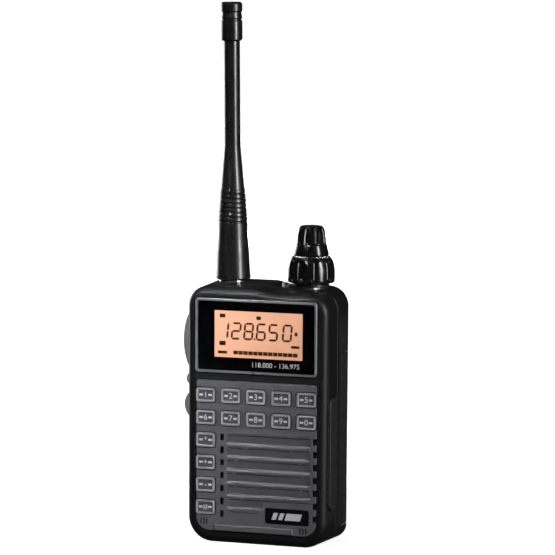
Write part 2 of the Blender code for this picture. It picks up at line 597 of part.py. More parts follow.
def fluted(name, mat, profile, flutes, depth, flute_z, centre, per_flute=6):
    """A knob: rings of the profile, with round flutes pressed in between two heights."""
    sides = flutes * per_flute
    rings = []
    for r, z in profile:
        fade = 1.0 if flute_z[0] <= z <= flute_z[1] else 0.0
        ring = []
        for i in range(sides):
            a = 2 * math.pi * i / sides
            press = depth * fade * max(0.0, math.cos(flutes * a)) ** 0.7
            ring.append(Vector((centre[0] + (r - press) * math.cos(a), centre[1] + (r - press) * math.sin(a), z)))
        rings.append(ring)
    bm = bmesh.new()
    add_loft(bm, rings)
    return new_object(name, bm, mat, 30.0)


def build_knobs():
    """Concentric controls: the volume ring below on a hollow shaft, the channel knob above on the inner shaft."""
    centre = (KNOB_X, TOP_Y, 0)
    lower = [
        (7.3 * MM, KNOB_BASE_Z), (7.55 * MM, 85.0 * MM), (7.65 * MM, 86.0 * MM), (7.65 * MM, 88.2 * MM),
        (7.5 * MM, 89.8 * MM), (7.3 * MM, 90.7 * MM), (6.85 * MM, 92.0 * MM), (6.2 * MM, 92.9 * MM),
    ]
    volume = fluted("volume_knob", BLACK, lower, 10, 0.7 * MM, (85.5 * MM, 91.6 * MM), centre)
    shaft_space = [
        (0, 80.0 * MM), (6.4 * MM, 80.0 * MM), (6.4 * MM, 85.6 * MM), (3.3 * MM, 85.6 * MM), (3.3 * MM, 91.0 * MM),
        (1.9 * MM, 91.0 * MM), (1.9 * MM, 95.0 * MM), (0, 95.0 * MM),
    ]
    cut(volume, turned("cut_volume_bore", BLACK, shaft_space, centre, sides=24))

    upper = [
        (5.5 * MM, 93.2 * MM), (5.7 * MM, 93.6 * MM), (5.6 * MM, 94.8 * MM), (5.2 * MM, 96.3 * MM),
        (4.8 * MM, 97.4 * MM), (4.75 * MM, 98.8 * MM), (4.65 * MM, 100.2 * MM), (4.35 * MM, 101.3 * MM),
        (3.9 * MM, 102.2 * MM), (3.3 * MM, 102.9 * MM),
    ]
    channel = fluted("channel_knob", BLACK, upper, 9, 0.5 * MM, (97.0 * MM, 101.5 * MM), centre)
    bore = [(0, 90.0 * MM), (1.8 * MM, 90.0 * MM), (1.8 * MM, 99.0 * MM), (0, 99.0 * MM)]
    cut(channel, turned("cut_channel_bore", BLACK, bore, centre, sides=16))

    tube = [(1.8 * MM, 79.0 * MM), (3.0 * MM, 79.0 * MM), (3.0 * MM, 90.7 * MM), (1.8 * MM, 90.7 * MM)]
    outer_shaft = turned("volume_shaft", STEEL, tube, centre, sides=24)
    inner_shaft = cylinder("channel_shaft", STEEL, centre, 1.5 * MM, (78.5 * MM, 98.7 * MM), sides=16)

    body = boxes("control_encoder", STEEL, [((KNOB_X - 6.0 * MM, KNOB_X + 6.0 * MM), (TOP_Y - 3.8 * MM, TOP_Y + 5.6 * MM),
                                             (72.0 * MM, 78.0 * MM))], 0.3 * MM)
    bushing = [(3.3 * MM, 77.5 * MM), (4.2 * MM, 77.5 * MM), (4.2 * MM, 84.2 * MM), (3.3 * MM, 84.2 * MM)]
    use("UNION", body, turned("add_bushing", STEEL, bushing, centre, sides=24))
    ring = [(4.5 * MM, 83.3 * MM), (5.9 * MM, 83.3 * MM), (5.9 * MM, 84.2 * MM), (4.5 * MM, 84.2 * MM)]
    turned("control_nut", STEEL, ring, centre, sides=24)
    for piece in (volume, channel, outer_shaft, inner_shaft):
        place_origin(piece, (KNOB_X, TOP_Y, KNOB_BASE_Z))


# ---- rear half -----------------------------------------------------------------------------------------
def rear_block(name, mat, front):
    """The rear casing's full outer form, from y = front to the back."""
    back_edge = [(inset, BACK_Y - depth) for inset, depth in edge_insets(BACK_EDGE_R, 3)]
    return body_block(name, mat, [(0.0, front), *back_edge[::-1]])


def build_chassis():
    chassis = rear_block("rear_chassis", CASE, PARTING_Y + SEAM)
    shallow = slab(
        "cut_chassis_front", CASE, HALF_W - WALL, WALL, BODY_H - WALL,
        (BASE_CORNER_R - WALL, CAVITY_TOP_R), (PARTING_Y - 1 * MM, BAY_Y - 1.4 * MM),
    )
    deep = slab(
        "cut_chassis_top", CASE, HALF_W - WALL, BAY_HIGH + 1.7 * MM, BODY_H - WALL,
        (2.0 * MM, CAVITY_TOP_R), (BAY_Y - 2 * MM, 8.4 * MM),
    )
    bay = boxes("cut_bay", CASE, [((-HALF_W - 1 * MM, HALF_W + 1 * MM), (BAY_Y, BACK_Y + 1 * MM), (BAY_LOW, BAY_HIGH))])
    latch_slot = boxes(
        "cut_latch_slot", CASE,
        [((-LATCH_HALF_W - SEAM, LATCH_HALF_W + SEAM), (LATCH_SLOT_Y, BACK_Y + 1 * MM),
          (BAY_HIGH - 1 * MM, LATCH_HIGH + LATCH_TRAVEL + 0.4 * MM))],
    )
    terminal_slots = boxes(
        "cut_terminal_slots", CASE,
        [((x - 1.3 * MM, x + 1.3 * MM), (BAY_Y - 3 * MM, BAY_Y + 1 * MM), (18.0 * MM, 23.0 * MM))
         for x in (-4.0 * MM, 4.0 * MM)],
    )
    spring_bore = cylinder(
        "cut_spring_bore", CASE, (0, SPRING_Y, 0), 1.25 * MM, (LATCH_HIGH + 1 * MM, SPRING_Z[1] + 0.3 * MM), sides=16
    )
    socket_hole = cylinder("cut_socket_hole", CASE, (ANTENNA_X, TOP_Y, 0), 3.6 * MM, (75 * MM, 90 * MM))
    knob_hole = cylinder("cut_knob_hole", CASE, (KNOB_X, TOP_Y, 0), 4.5 * MM, (79 * MM, 90 * MM))
    lens_hole = cylinder("cut_lens_hole", CASE, (INDICATOR_X, INDICATOR_Y, 0), 1.5 * MM, (79 * MM, 90 * MM), sides=16)
    seats = []
    for number, (x, z, y) in enumerate(SCREWS, 1):
        depth = [(0, y + 2 * MM), (1.9 * MM, y + 2 * MM), (1.9 * MM, y - 1.7 * MM), (1.15 * MM, y - 1.7 * MM),
                 (1.15 * MM, y - 12 * MM), (0, y - 12 * MM)]
        seats.append(turned(f"cut_screw_{number}", CASE, depth, (x, 0, z), "Y", 16))
    cut(chassis, shallow, deep, bay, latch_slot, terminal_slots, spring_bore, socket_hole, knob_hole, lens_hole, *seats)


def build_chassis_fittings():
    boss = [(0, 80.4 * MM), (2.0 * MM, 80.4 * MM), (2.0 * MM, 81.2 * MM), (1.2 * MM, 81.2 * MM), (1.2 * MM, 83.6 * MM),
            (0.7 * MM, 84.05 * MM), (0, 84.2 * MM)]
    turned("indicator_lens", LENS, boss, (INDICATOR_X, INDICATOR_Y, 0), sides=20)
    for number, (x, z, y) in enumerate(SCREWS, 1):
        head = [(0, y - 0.7 * MM), (0.45 * MM, y - 0.7 * MM), (0.45 * MM, y - 0.25 * MM), (1.1 * MM, y - 0.25 * MM),
                (1.6 * MM, y - 0.6 * MM), (1.6 * MM, y - 1.4 * MM), (0.8 * MM, y - 1.4 * MM),
                (0.8 * MM, max(y - 8 * MM, -2.4 * MM)), (0, max(y - 8 * MM, -2.4 * MM))]
        screw = turned(f"case_screw_{number}", STEEL, head, (x, 0, z), "Y", 20)
        place_origin(screw, (x, y, z))
    for side, x in (("left", -4.0 * MM), ("right", 4.0 * MM)):
        boxes(f"battery_terminal_{side}", BRASS,
              [((x - 1.0 * MM, x + 1.0 * MM), (BAY_Y - 3.4 * MM, BAY_Y + 0.15 * MM), (18.4 * MM, 22.6 * MM))], 0.2 * MM)


def build_battery():
    """The pack: a front tray and a back cover around one flat cell, with two contact pads."""
    gap = SEAM
    low, high = BAY_LOW + gap, BAY_HIGH - gap
    side = HALF_W + 1 * MM
    notch_y = (BAY_Y - 1 * MM, BACK_Y + 1 * MM)
    catch = ((-CATCH_HALF_W, CATCH_HALF_W), (BAY_Y, CATCH_LIP_Y), (CATCH_Z, BAY_HIGH + 1 * MM))
    catch_back = ((-CATCH_HALF_W, CATCH_HALF_W), (CATCH_LIP_Y + 1.0 * MM, notch_y[1]), (CATCH_Z, BAY_HIGH + 1 * MM))

    tray = rear_block("battery_tray", CASE, BAY_Y + gap)
    use("INTERSECT", tray, boxes("keep_tray", CASE, [((-side, side), (BAY_Y, BATTERY_TRAY_Y), (low, high))]))
    pads = [((x - 1.9 * MM, x + 1.9 * MM), (BAY_Y, BAY_Y + 1.0 * MM), (17.6 * MM, 23.4 * MM)) for x in (-4 * MM, 4 * MM)]
    screw_room = ((-2.4 * MM, 2.4 * MM), (BAY_Y, BAY_Y + 0.6 * MM), (7.6 * MM, 12.4 * MM))
    cut(tray, boxes("cut_tray", CASE, [*pads, screw_room, catch]))

    cover = rear_block("battery_cover", CASE, BATTERY_TRAY_Y + 0.1 * MM)
    use("INTERSECT", cover, boxes("keep_cover", CASE, [((-side, side), (BATTERY_TRAY_Y - 1 * MM, notch_y[1]), (low, high))]))
    hollow = boxes(
        "cut_cover_hollow", CASE,
        [((-HALF_W + 2.6 * MM, HALF_W - 2.6 * MM), (BATTERY_TRAY_Y - 1 * MM, BACK_Y - BATTERY_WALL),
          (low + 2.6 * MM, CATCH_Z - BATTERY_WALL))],
    )
    cut(cover, hollow, boxes("cut_catch", CASE, [catch]), boxes("cut_catch_back", CASE, [catch_back]))

    boxes("battery_cell", CELL, [((-20.5 * MM, 20.5 * MM), (BATTERY_TRAY_Y + 0.3 * MM, BACK_Y - BATTERY_WALL - 0.3 * MM),
                                  (low + 3.2 * MM, CATCH_Z - BATTERY_WALL - 0.6 * MM))], 1.0 * MM)
    for side_name, x in (("left", -4.0 * MM), ("right", 4.0 * MM)):
        boxes(f"battery_contact_{side_name}", BRASS,
              [((x - 1.6 * MM, x + 1.6 * MM), (BAY_Y + 0.45 * MM, BAY_Y + 0.85 * MM), (18.0 * MM, 23.0 * MM))])


def build_latch():
    """The sprung slide above the battery, whose tooth stands behind the pack's lip."""
    latch = boxes("battery_latch", CASE, [((-LATCH_HALF_W, LATCH_HALF_W), (LATCH_SLOT_Y + SEAM, BACK_Y - 0.3 * MM),
                                           (LATCH_LOW, LATCH_HIGH))], 0.4 * MM)
    tooth = boxes("add_tooth", CASE, [((-LATCH_HALF_W + 1 * MM, LATCH_HALF_W - 1 * MM),
                                       (CATCH_LIP_Y + 1.3 * MM, CATCH_LIP_Y + 2.5 * MM),
                                       (CATCH_Z + 0.4 * MM, LATCH_LOW + 1 * MM))])
    use("UNION", latch, tooth)
    ridges = [((-4.5 * MM, 4.5 * MM), (BACK_Y - 0.6 * MM, BACK_Y + 0.1 * MM), (z, z + 0.6 * MM))
              for z in (64.6 * MM, 66.0 * MM, 67.4 * MM)]
    use("UNION", latch, boxes("add_latch_ridges", CASE, ridges, 0.15 * MM))
    place_origin(latch, (0, BACK_Y, LATCH_LOW))

    turns, per_turn, wire_r, coil_r = 5, 12, 0.16 * MM, 0.8 * MM
    low, high = SPRING_Z[0] + wire_r, SPRING_Z[1] - wire_r
    curve = bpy.data.curves.new("latch_spring", "CURVE")
    curve.dimensions = "3D"
    curve.bevel_depth = wire_r
    curve.bevel_resolution = 1
    curve.use_fill_caps = True
    curve.materials.append(STEEL)
    spline = curve.splines.new("POLY")
    count = turns * per_turn + 1
    spline.points.add(count - 1)
    for i, point in enumerate(spline.points):
        a = 2 * math.pi * i / per_turn
        point.co = (coil_r * math.cos(a), SPRING_Y + coil_r * math.sin(a), low + (high - low) * i / (count - 1), 1)
    spring = bpy.data.objects.new("latch_spring", curve)
    bpy.context.scene.collection.objects.link(spring)


build_front_case()
build_fascia()
build_keys()
build_display()
build_front_internals()
build_side_controls()
build_antenna()
build_knobs()
build_chassis()
build_chassis_fittings()
build_battery()
build_latch()
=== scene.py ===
"""Looks of the compact handheld aviation radio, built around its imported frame. Lengths are in metres."""

import math

import bmesh
import bpy
from mathutils import Matrix, Vector


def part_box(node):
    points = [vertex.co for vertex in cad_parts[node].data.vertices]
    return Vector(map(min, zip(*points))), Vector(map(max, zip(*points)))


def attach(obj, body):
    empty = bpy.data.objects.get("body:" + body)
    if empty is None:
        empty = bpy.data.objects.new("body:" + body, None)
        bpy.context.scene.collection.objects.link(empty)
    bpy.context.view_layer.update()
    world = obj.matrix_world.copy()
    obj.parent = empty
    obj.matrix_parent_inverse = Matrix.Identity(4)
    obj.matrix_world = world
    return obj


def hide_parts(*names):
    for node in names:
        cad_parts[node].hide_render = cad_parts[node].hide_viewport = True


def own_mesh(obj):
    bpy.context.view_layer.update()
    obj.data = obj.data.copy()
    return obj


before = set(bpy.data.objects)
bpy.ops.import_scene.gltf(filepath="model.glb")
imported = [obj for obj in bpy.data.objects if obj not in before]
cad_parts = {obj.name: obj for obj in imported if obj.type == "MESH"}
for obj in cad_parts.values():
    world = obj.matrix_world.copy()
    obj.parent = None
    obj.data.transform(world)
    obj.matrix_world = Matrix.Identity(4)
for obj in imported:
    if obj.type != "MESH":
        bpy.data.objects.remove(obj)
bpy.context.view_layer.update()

MM = 0.001

# ---- casing, as the frame has it ----
HALF_W = 24.0 * MM
BASE_HALF_W, DECK_HALF_W = 23.65 * MM, 23.8 * MM
BODY_H = 83.0 * MM
DECK_FRONT_RIGHT, DECK_FRONT_LEFT = 82.2 * MM, 83.4 * MM
DECK_BACK_RIGHT, DECK_BACK_LEFT = 83.0 * MM, 84.0 * MM
DECK_STEP_X = (-1.0 * MM, 5.0 * MM)
FRONT_Y, BACK_Y, PARTING_Y = -13.0 * MM, 13.0 * MM, -2.0 * MM
SEAM = 0.3 * MM
WALL = 1.6 * MM
TOP_LEFT_R, TOP_RIGHT_R, CAVITY_TOP_R = 6.2 * MM, 6.5 * MM, 6.4 * MM
BASE_CORNER_R, BASE_CORNER_BACK_R = 8.5 * MM, 3.8 * MM
FRONT_EDGE_R, BACK_EDGE_R = 2.8 * MM, 3.6 * MM
RECESS_Y, FRONT_WALL_Y = FRONT_Y + 0.9 * MM, FRONT_Y + 1.8 * MM
AHEAD, BEHIND = FRONT_Y - 1 * MM, BACK_Y + 1 * MM  # where cutters start outside the casing
CAVITY = (HALF_W - WALL, WALL, BODY_H - WALL, (BASE_CORNER_R - WALL, CAVITY_TOP_R))
FASCIA_Y, RIB_Y = FRONT_Y - 0.3 * MM, FRONT_Y - 0.42 * MM

# ---- controls ----
LCD_X, LCD_HALF_W = 0.4 * MM, 14.85 * MM
LCD_LOW, LCD_HIGH = 60.9 * MM, 76.0 * MM
DISPLAY_OPENING = (16.8 * MM, 58.9 * MM, 77.9 * MM)  # half width, low z, high z
RIM_W, RIM_R, FASCIA_RADII = 0.8 * MM, 1.2 * MM, (4.5 * MM, 0.8 * MM)
KEY_W, KEY_H, KEY_R = 6.5 * MM, 4.7 * MM, 0.9 * MM
CHANNELS, CHANNEL_PITCH, CHANNEL_TOP_Z, CHANNEL_H = 7, 4.18 * MM, 35.75 * MM, 0.3 * MM
GRILLE_LEFT, GRILLE_RIGHT = -9.9 * MM, 18.3 * MM
PLATE_X, PLATE_Z = (3.4 * MM, 17.8 * MM), (7.7 * MM, 12.6 * MM)
SPEAKER_X, SPEAKER_Z, SPEAKER_R = 3.5 * MM, 22.5 * MM, 12.4 * MM
BAY_LOW, BAY_HIGH, BAY_Y, TRAY_Y = 5.0 * MM, 62.0 * MM, 3.0 * MM, 5.0 * MM
CATCH_HALF_W, CATCH_Z, CATCH_LIP_Y = 7.5 * MM, 60.2 * MM, 10.0 * MM
LATCH_HALF_W, LATCH_LOW, LATCH_HIGH, LATCH_SLOT_Y = 7.0 * MM, 63.0 * MM, 69.5 * MM, 10.0 * MM
TERMINAL_X = (-4.0 * MM, 4.0 * MM)
SCREWS = ((-16.5 * MM, 69.5 * MM, BACK_Y), (16.5 * MM, 69.5 * MM, BACK_Y), (0.0, 10.0 * MM, BAY_Y))
ANTENNA_X, KNOB_X, TOP_Y = -13.25 * MM, 13.35 * MM, 2.5 * MM
WHIP_BASE_Z = 84.7 * MM
ANTENNA_LEAN = -0.6  # degrees about Y
INDICATOR_X, INDICATOR_Y = 4.6 * MM, 3.0 * MM
SIDE_BUTTONS = {  # low z, high z, how far the crown stands out
    "ptt_button": (56.9 * MM, 74.3 * MM, 2.6 * MM),
    "monitor_button": (51.0 * MM, 54.6 * MM, 1.5 * MM),
    "lamp_button": (40.6 * MM, 48.2 * MM, 2.2 * MM),
}
SIDE_BUTTON_Y, SIDE_BUTTON_INNER_X = (-9.4 * MM, -3.2 * MM), -21.2 * MM
COVER_Y, COVER_Z = (-11.2 * MM, -3.6 * MM), (12.4 * MM, 48.8 * MM)
JACK_Z, JACK_Y = (33.0 * MM, 42.0 * MM), -7.0 * MM
KEY_LEGENDS = "1 2 3 4 5 6 7 8 9 0 * + - #".split()
KEY_CROWN = ((0, 0.42), (0.04, 0.2), (0.14, 0.05), (0.28, 0), (0.52, 0), (0.66, 0.05), (0.76, 0.18),
             (0.84, 0.32), (1.2, 0.36))  # mm in from the edge, mm behind the face
WEAR_AMOUNT = 0.35  # how far a rubbed edge turns to its wear colour


# ---- materials ----
def link(tree, source, target):
    tree.links.new(source, target)


def noise(tree, where, scale, detail=3.0, roughness=0.55):
    node = tree.nodes.new("ShaderNodeTexNoise")
    node.inputs["Scale"].default_value = scale
    node.inputs["Detail"].default_value = detail
    node.inputs["Roughness"].default_value = roughness
    link(tree, where, node.inputs["Vector"])
    return node.outputs["Fac"]


def ranged(tree, value, start, end, low, high):
    """value, spread from start..end to low..high."""
    node = tree.nodes.new("ShaderNodeMapRange")
    for name, number in (("From Min", start), ("From Max", end), ("To Min", low), ("To Max", high)):
        node.inputs[name].default_value = number
    link(tree, value, node.inputs["Value"])
    return node.outputs["Result"]


def maths(tree, operation, a, b):
    node = tree.nodes.new("ShaderNodeMath")
    node.operation = operation
    for socket, value in zip(node.inputs, (a, b)):
        if isinstance(value, (int, float)):
            socket.default_value = value
        else:
            link(tree, value, socket)
    return node.outputs["Value"]


def blended(tree, factor, first, second):
    """Two colours mixed by a factor. Each is a socket or three numbers."""
    node = tree.nodes.new("ShaderNodeMix")
    node.data_type = "RGBA"
    link(tree, factor, node.inputs["Factor"])
    for socket, colour in ((node.inputs["A"], first), (node.inputs["B"], second)):
        if isinstance(colour, tuple):
            socket.default_value = (*colour, 1.0)
        else:
            link(tree, colour, socket)
    return node.outputs["Result"]


def finish(
    name, colour, roughness, metallic=0.0, mottle=0.12, mottle_scale=160.0, grain_scale=3500.0, grain=0.25,
    grain_depth=0.02 * MM, spread=0.08, wear=None, specular=0.5, coat=0.0, stretch=(1, 1, 1),
):
    """A moulded, cast or turned surface: clouded colour, uneven gloss, fine grain, and paler worn edges."""
    mat = bpy.data.materials.new(name)
    mat.use_nodes = True
    tree = mat.node_tree
    shader = tree.nodes["Principled BSDF"]
    shader.inputs["Metallic"].default_value = metallic
    shader.inputs["Specular IOR Level"].default_value = specular
    shader.inputs["Coat Weight"].default_value = coat
    shader.inputs["Coat Roughness"].default_value = 0.12

    place = tree.nodes.new("ShaderNodeTexCoord").outputs["Object"]
    mapping = tree.nodes.new("ShaderNodeMapping")
    mapping.inputs["Scale"].default_value = stretch
    link(tree, place, mapping.inputs["Vector"])
    where = mapping.outputs["Vector"]

    cloud = noise(tree, where, mottle_scale, 4.0)
    fine = noise(tree, where, grain_scale, 2.0, 0.5)
    dark = tuple(c * (1 - mottle) for c in colour)
    light = tuple(min(1.0, c * (1 + mottle)) for c in colour)
    paint = blended(tree, ranged(tree, cloud, 0.3, 0.7, 0.0, 1.0), dark, light)
    speck = ranged(tree, fine, 0.35, 0.65, 0.0, 0.35)
    paint = blended(tree, speck, paint, tuple(min(1.0, c * (1 + 2 * mottle)) for c in colour))
    if wear:
        edge = tree.nodes.new("ShaderNodeNewGeometry").outputs["Pointiness"]
        rub = maths(tree, "MULTIPLY", ranged(tree, edge, 0.53, 0.62, 0.0, WEAR_AMOUNT),
                    ranged(tree, noise(tree, where, mottle_scale * 4, 5.0), 0.35, 0.6, 0.25, 1.0))
        paint = blended(tree, rub, paint, wear)
    link(tree, paint, shader.inputs["Base Color"])

    gloss = noise(tree, where, mottle_scale * 2.3, 5.0, 0.6)
    gloss = ranged(tree, gloss, 0.3, 0.7, roughness - spread / 2, roughness + spread)
    link(tree, gloss, shader.inputs["Roughness"])
    bump = tree.nodes.new("ShaderNodeBump")
    bump.inputs["Strength"].default_value = grain
    bump.inputs["Distance"].default_value = grain_depth
    link(tree, fine, bump.inputs["Height"])
    link(tree, bump.outputs["Normal"], shader.inputs["Normal"])
    return mat


def clear_material(name, tint, roughness):
    """Clear plastic with faint haze and a very light orange peel."""
    mat = finish(name, tint, roughness, mottle=0.01, grain=0.04, grain_depth=0.004 * MM, spread=0.02,
                 specular=0.2)
    shader = mat.node_tree.nodes["Principled BSDF"]
    shader.inputs["Transmission Weight"].default_value = 1.0
    shader.inputs["IOR"].default_value = 1.12
    return mat


def backlit_with_painted_light(name, dim, bright, strength):
    """The backlit display: its glow is real, but its brightening towards the upper left is painted light,
    standing in for the lamp light that falls on it from the upper left; with the light guide's faint
    clouding.
    """
    mat = finish(name, tuple(c * 0.25 for c in dim), 0.35, mottle=0.05, mottle_scale=260.0, grain=0.05,
                 specular=0.3)
    tree = mat.node_tree
    shader = tree.nodes["Principled BSDF"]
    place = tree.nodes.new("ShaderNodeTexCoord").outputs["Object"]
    split = tree.nodes.new("ShaderNodeSeparateXYZ")
    link(tree, place, split.inputs["Vector"])
    # Painted light: the glow is raised towards the left and the top, where the front lamp's light falls.
    across = ranged(tree, split.outputs["X"], LCD_X - LCD_HALF_W, LCD_X + LCD_HALF_W, 0.75, 0.1)
    up = ranged(tree, split.outputs["Z"], LCD_LOW, LCD_HIGH, 0.0, 0.25)
    cloud = ranged(tree, noise(tree, place, 220.0, 3.0), 0.3, 0.7, -0.06, 0.06)
    glow = maths(tree, "ADD", maths(tree, "ADD", across, up), cloud)
    link(tree, blended(tree, glow, dim, bright), shader.inputs["Emission Color"])
    shader.inputs["Emission Strength"].default_value = strength
    return mat


CASE = finish("case_plastic", (0.0045, 0.0045, 0.0048), 0.42, wear=(0.06, 0.06, 0.062), specular=0.4)
FASCIA = finish("fascia_paint", (0.115, 0.114, 0.122), 0.42, metallic=0.15, mottle=0.1, grain_scale=5200.0,
                wear=(0.20, 0.20, 0.21), specular=0.5)
KEY_SIDE = finish("key_plastic", (0.07, 0.07, 0.077), 0.42, mottle=0.1, wear=(0.2, 0.2, 0.21))
# Key rims: pale paint that is partly a painted highlight, standing in for the light the raised rim catches.
KEY_RIM_PAINT_AND_HIGHLIGHT = finish("key_rim_paint_and_painted_highlight", (0.37, 0.365, 0.39), 0.34, mottle=0.14, metallic=0.2, wear=(0.5, 0.5, 0.52))
KEY_FACE = finish("key_face", (0.070, 0.069, 0.078), 0.4, mottle=0.12)
INK = finish("pale_ink", (0.55, 0.55, 0.56), 0.55, mottle=0.1, grain=0.1)
FRAME = finish("frame_metal_paint", (0.26, 0.265, 0.285), 0.3, metallic=0.5, mottle=0.12,
               wear=(0.5, 0.5, 0.52))
GLOSS = finish("gloss_black", (0.004, 0.004, 0.005), 0.12, mottle=0.2, grain=0.05, spread=0.04, specular=0.2)
KNOB = finish("knob_plastic", (0.004, 0.004, 0.0045), 0.16, mottle=0.2, grain=0.08, spread=0.08, specular=0.5,
              wear=(0.05, 0.05, 0.05))
RUBBER = finish("whip_rubber", (0.0050, 0.0050, 0.0055), 0.28, mottle=0.2, mottle_scale=220.0, grain=0.4,
                grain_scale=2600.0, wear=(0.05, 0.05, 0.05), stretch=(1, 1, 0.35), specular=0.75)
COVER_RUBBER = finish("cover_rubber", (0.016, 0.016, 0.0165), 0.5, mottle=0.18, grain=0.45,
                      grain_scale=2600.0, wear=(0.06, 0.06, 0.06), specular=0.4)
BUTTON = finish("button_rubber", (0.15, 0.149, 0.155), 0.5, mottle=0.1, grain=0.4, grain_scale=2800.0,
                wear=(0.3, 0.3, 0.31))
NICKEL = finish("nickel_plate", (0.72, 0.71, 0.69), 0.22, metallic=1.0, mottle=0.06,
                stretch=(1, 1, 6), grain=0.1)
GOLD = finish("contact_gold", (0.80, 0.58, 0.25), 0.3, metallic=1.0, mottle=0.08, wear=(0.9, 0.75, 0.45))
STEEL = finish("zinc_steel", (0.50, 0.50, 0.52), 0.34, metallic=1.0, mottle=0.1,
               stretch=(1, 5, 1), grain=0.15)
BLACK_STEEL = finish("black_screw", (0.05, 0.05, 0.052), 0.35, metallic=0.8, mottle=0.15,
                     wear=(0.3, 0.3, 0.3))
BOARD = finish("board_lacquer", (0.02, 0.13, 0.055), 0.35, mottle=0.25, mottle_scale=700.0,
               grain_scale=1500.0)
CONE = finish("cone_paper", (0.025, 0.025, 0.025), 0.85, mottle=0.3, mottle_scale=500.0, grain=0.7,
              grain_depth=0.05 * MM)
CELL = finish("cell_wrap", (0.08, 0.20, 0.40), 0.3, mottle=0.12, wear=(0.4, 0.5, 0.6), coat=0.3)
WINDOW = clear_material("window_plastic", (0.98, 0.98, 0.98), 0.04)
STATUS = finish("status_plastic", (0.42, 0.42, 0.41), 0.22, mottle=0.06, grain=0.05, specular=0.6, coat=0.4)
# The display's glow, with painted light brightening it towards the upper left.
LCD = backlit_with_painted_light("lcd_glow_with_painted_light", (0.50, 0.26, 0.16), (0.90, 0.47, 0.30), 1.22)
LCD_INK = finish("lcd_ink", (0.14, 0.045, 0.022), 0.5, mottle=0.25, mottle_scale=400.0, grain=0.05,
                 specular=0.1)


# ---- mesh helpers ----
def solid(name, bm, *materials, angle=32.0):
    """An object from a bmesh, with its faces turned outwards."""
    bmesh.ops.recalc_face_normals(bm, faces=bm.faces)
    mesh = bpy.data.meshes.new(name)
    bm.to_mesh(mesh)
    bm.free()
    for mat in materials:
        mesh.materials.append(mat)
    mesh.shade_smooth()
    mesh.set_sharp_from_angle(angle=math.radians(angle))
    obj = bpy.data.objects.new(name, mesh)
    bpy.context.scene.collection.objects.link(obj)
    return obj


def apply_modifiers(obj):
    bpy.context.view_layer.update()
    graph = bpy.context.evaluated_depsgraph_get()
    made = obj.evaluated_get(graph)
    mesh = bpy.data.meshes.new_from_object(made, preserve_all_data_layers=True, depsgraph=graph)
    old = obj.data
    obj.modifiers.clear()
    obj.data = mesh
    mesh.name = obj.name
    bpy.data.meshes.remove(old)


def combine(operation, obj, *others):
    """Unites obj with the others, cuts them from it, or keeps what it shares with them."""
    for other in others:
        modifier = obj.modifiers.new("combine", "BOOLEAN")
        modifier.operation = operation
        modifier.solver = "EXACT"
        modifier.object = other
    apply_modifiers(obj)
    for other in others:
        bpy.data.objects.remove(other)
    return obj


def cut(obj, *others):
    return combine("DIFFERENCE", obj, *others)


def soften(obj, width, segments=3, angle=42.0):
    """Rounds the sharp edges, and lets the flat faces stay flat in the shading."""
    bevel = obj.modifiers.new("round", "BEVEL")
    bevel.width, bevel.segments = width, segments
    bevel.limit_method, bevel.angle_limit = "ANGLE", math.radians(angle)
    apply_modifiers(obj)
    obj.data.shade_smooth()
    obj.data.set_sharp_from_angle(angle=math.radians(48.0))
    obj.modifiers.new("flat", "WEIGHTED_NORMAL").keep_sharp = True
    apply_modifiers(obj)
    return obj


def settle(obj, body, slot, *nodes):
    """Rides on its body and stands for its CAD nodes, which it hides. slot is not used."""
    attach(obj, body)
    if nodes:
        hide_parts(*nodes)
    return obj


def add_loft(bm, rings, material=0, caps=(True, True)):
    """Skins rings of equal length. material is a number, or one number for each band between rings."""
    rows = [[bm.verts.new(p) for p in ring] for ring in rings]
    for band, (low, high) in enumerate(zip(rows, rows[1:])):
        for i in range(len(low)):
            j = (i + 1) % len(low)
            face = bm.faces.new((low[i], low[j], high[j], high[i]))
            face.material_index = material if isinstance(material, int) else material[band]
    for wanted, row, band in ((caps[0], rows[0], 0), (caps[1], rows[-1], -1)):
        if wanted:
            bm.faces.new(row).material_index = material if isinstance(material, int) else material[band]


def in_mm(points):
    return [(a * MM, b * MM) for a, b in points]


def eased(t):
    return t * t * (3 - 2 * t)


def arc(x, z, radius, start, steps=14):
    angles = [math.radians(start + 90 * i / steps) for i in range(steps + 1)]
    return [(x + radius * math.cos(a), z + radius * math.sin(a)) for a in angles]


def outline(half_w, low, high, low_r, high_r, centre_x=0.0, inset=0.0, steps=8):
    """Corner points (x, z) of an upright rounded rectangle, taken in by inset all round."""
    half_w, low, high = half_w - inset, low + inset, high - inset
    low_r, high_r = max(low_r - inset, 0.05 * MM), max(high_r - inset, 0.05 * MM)
    return (
        arc(centre_x + half_w - low_r, low + low_r, low_r, -90, steps)
        + arc(centre_x + half_w - high_r, high - high_r, high_r, 0, steps)
        + arc(centre_x - half_w + high_r, high - high_r, high_r, 90, steps)
        + arc(centre_x - half_w + low_r, low + low_r, low_r, 180, steps)
    )


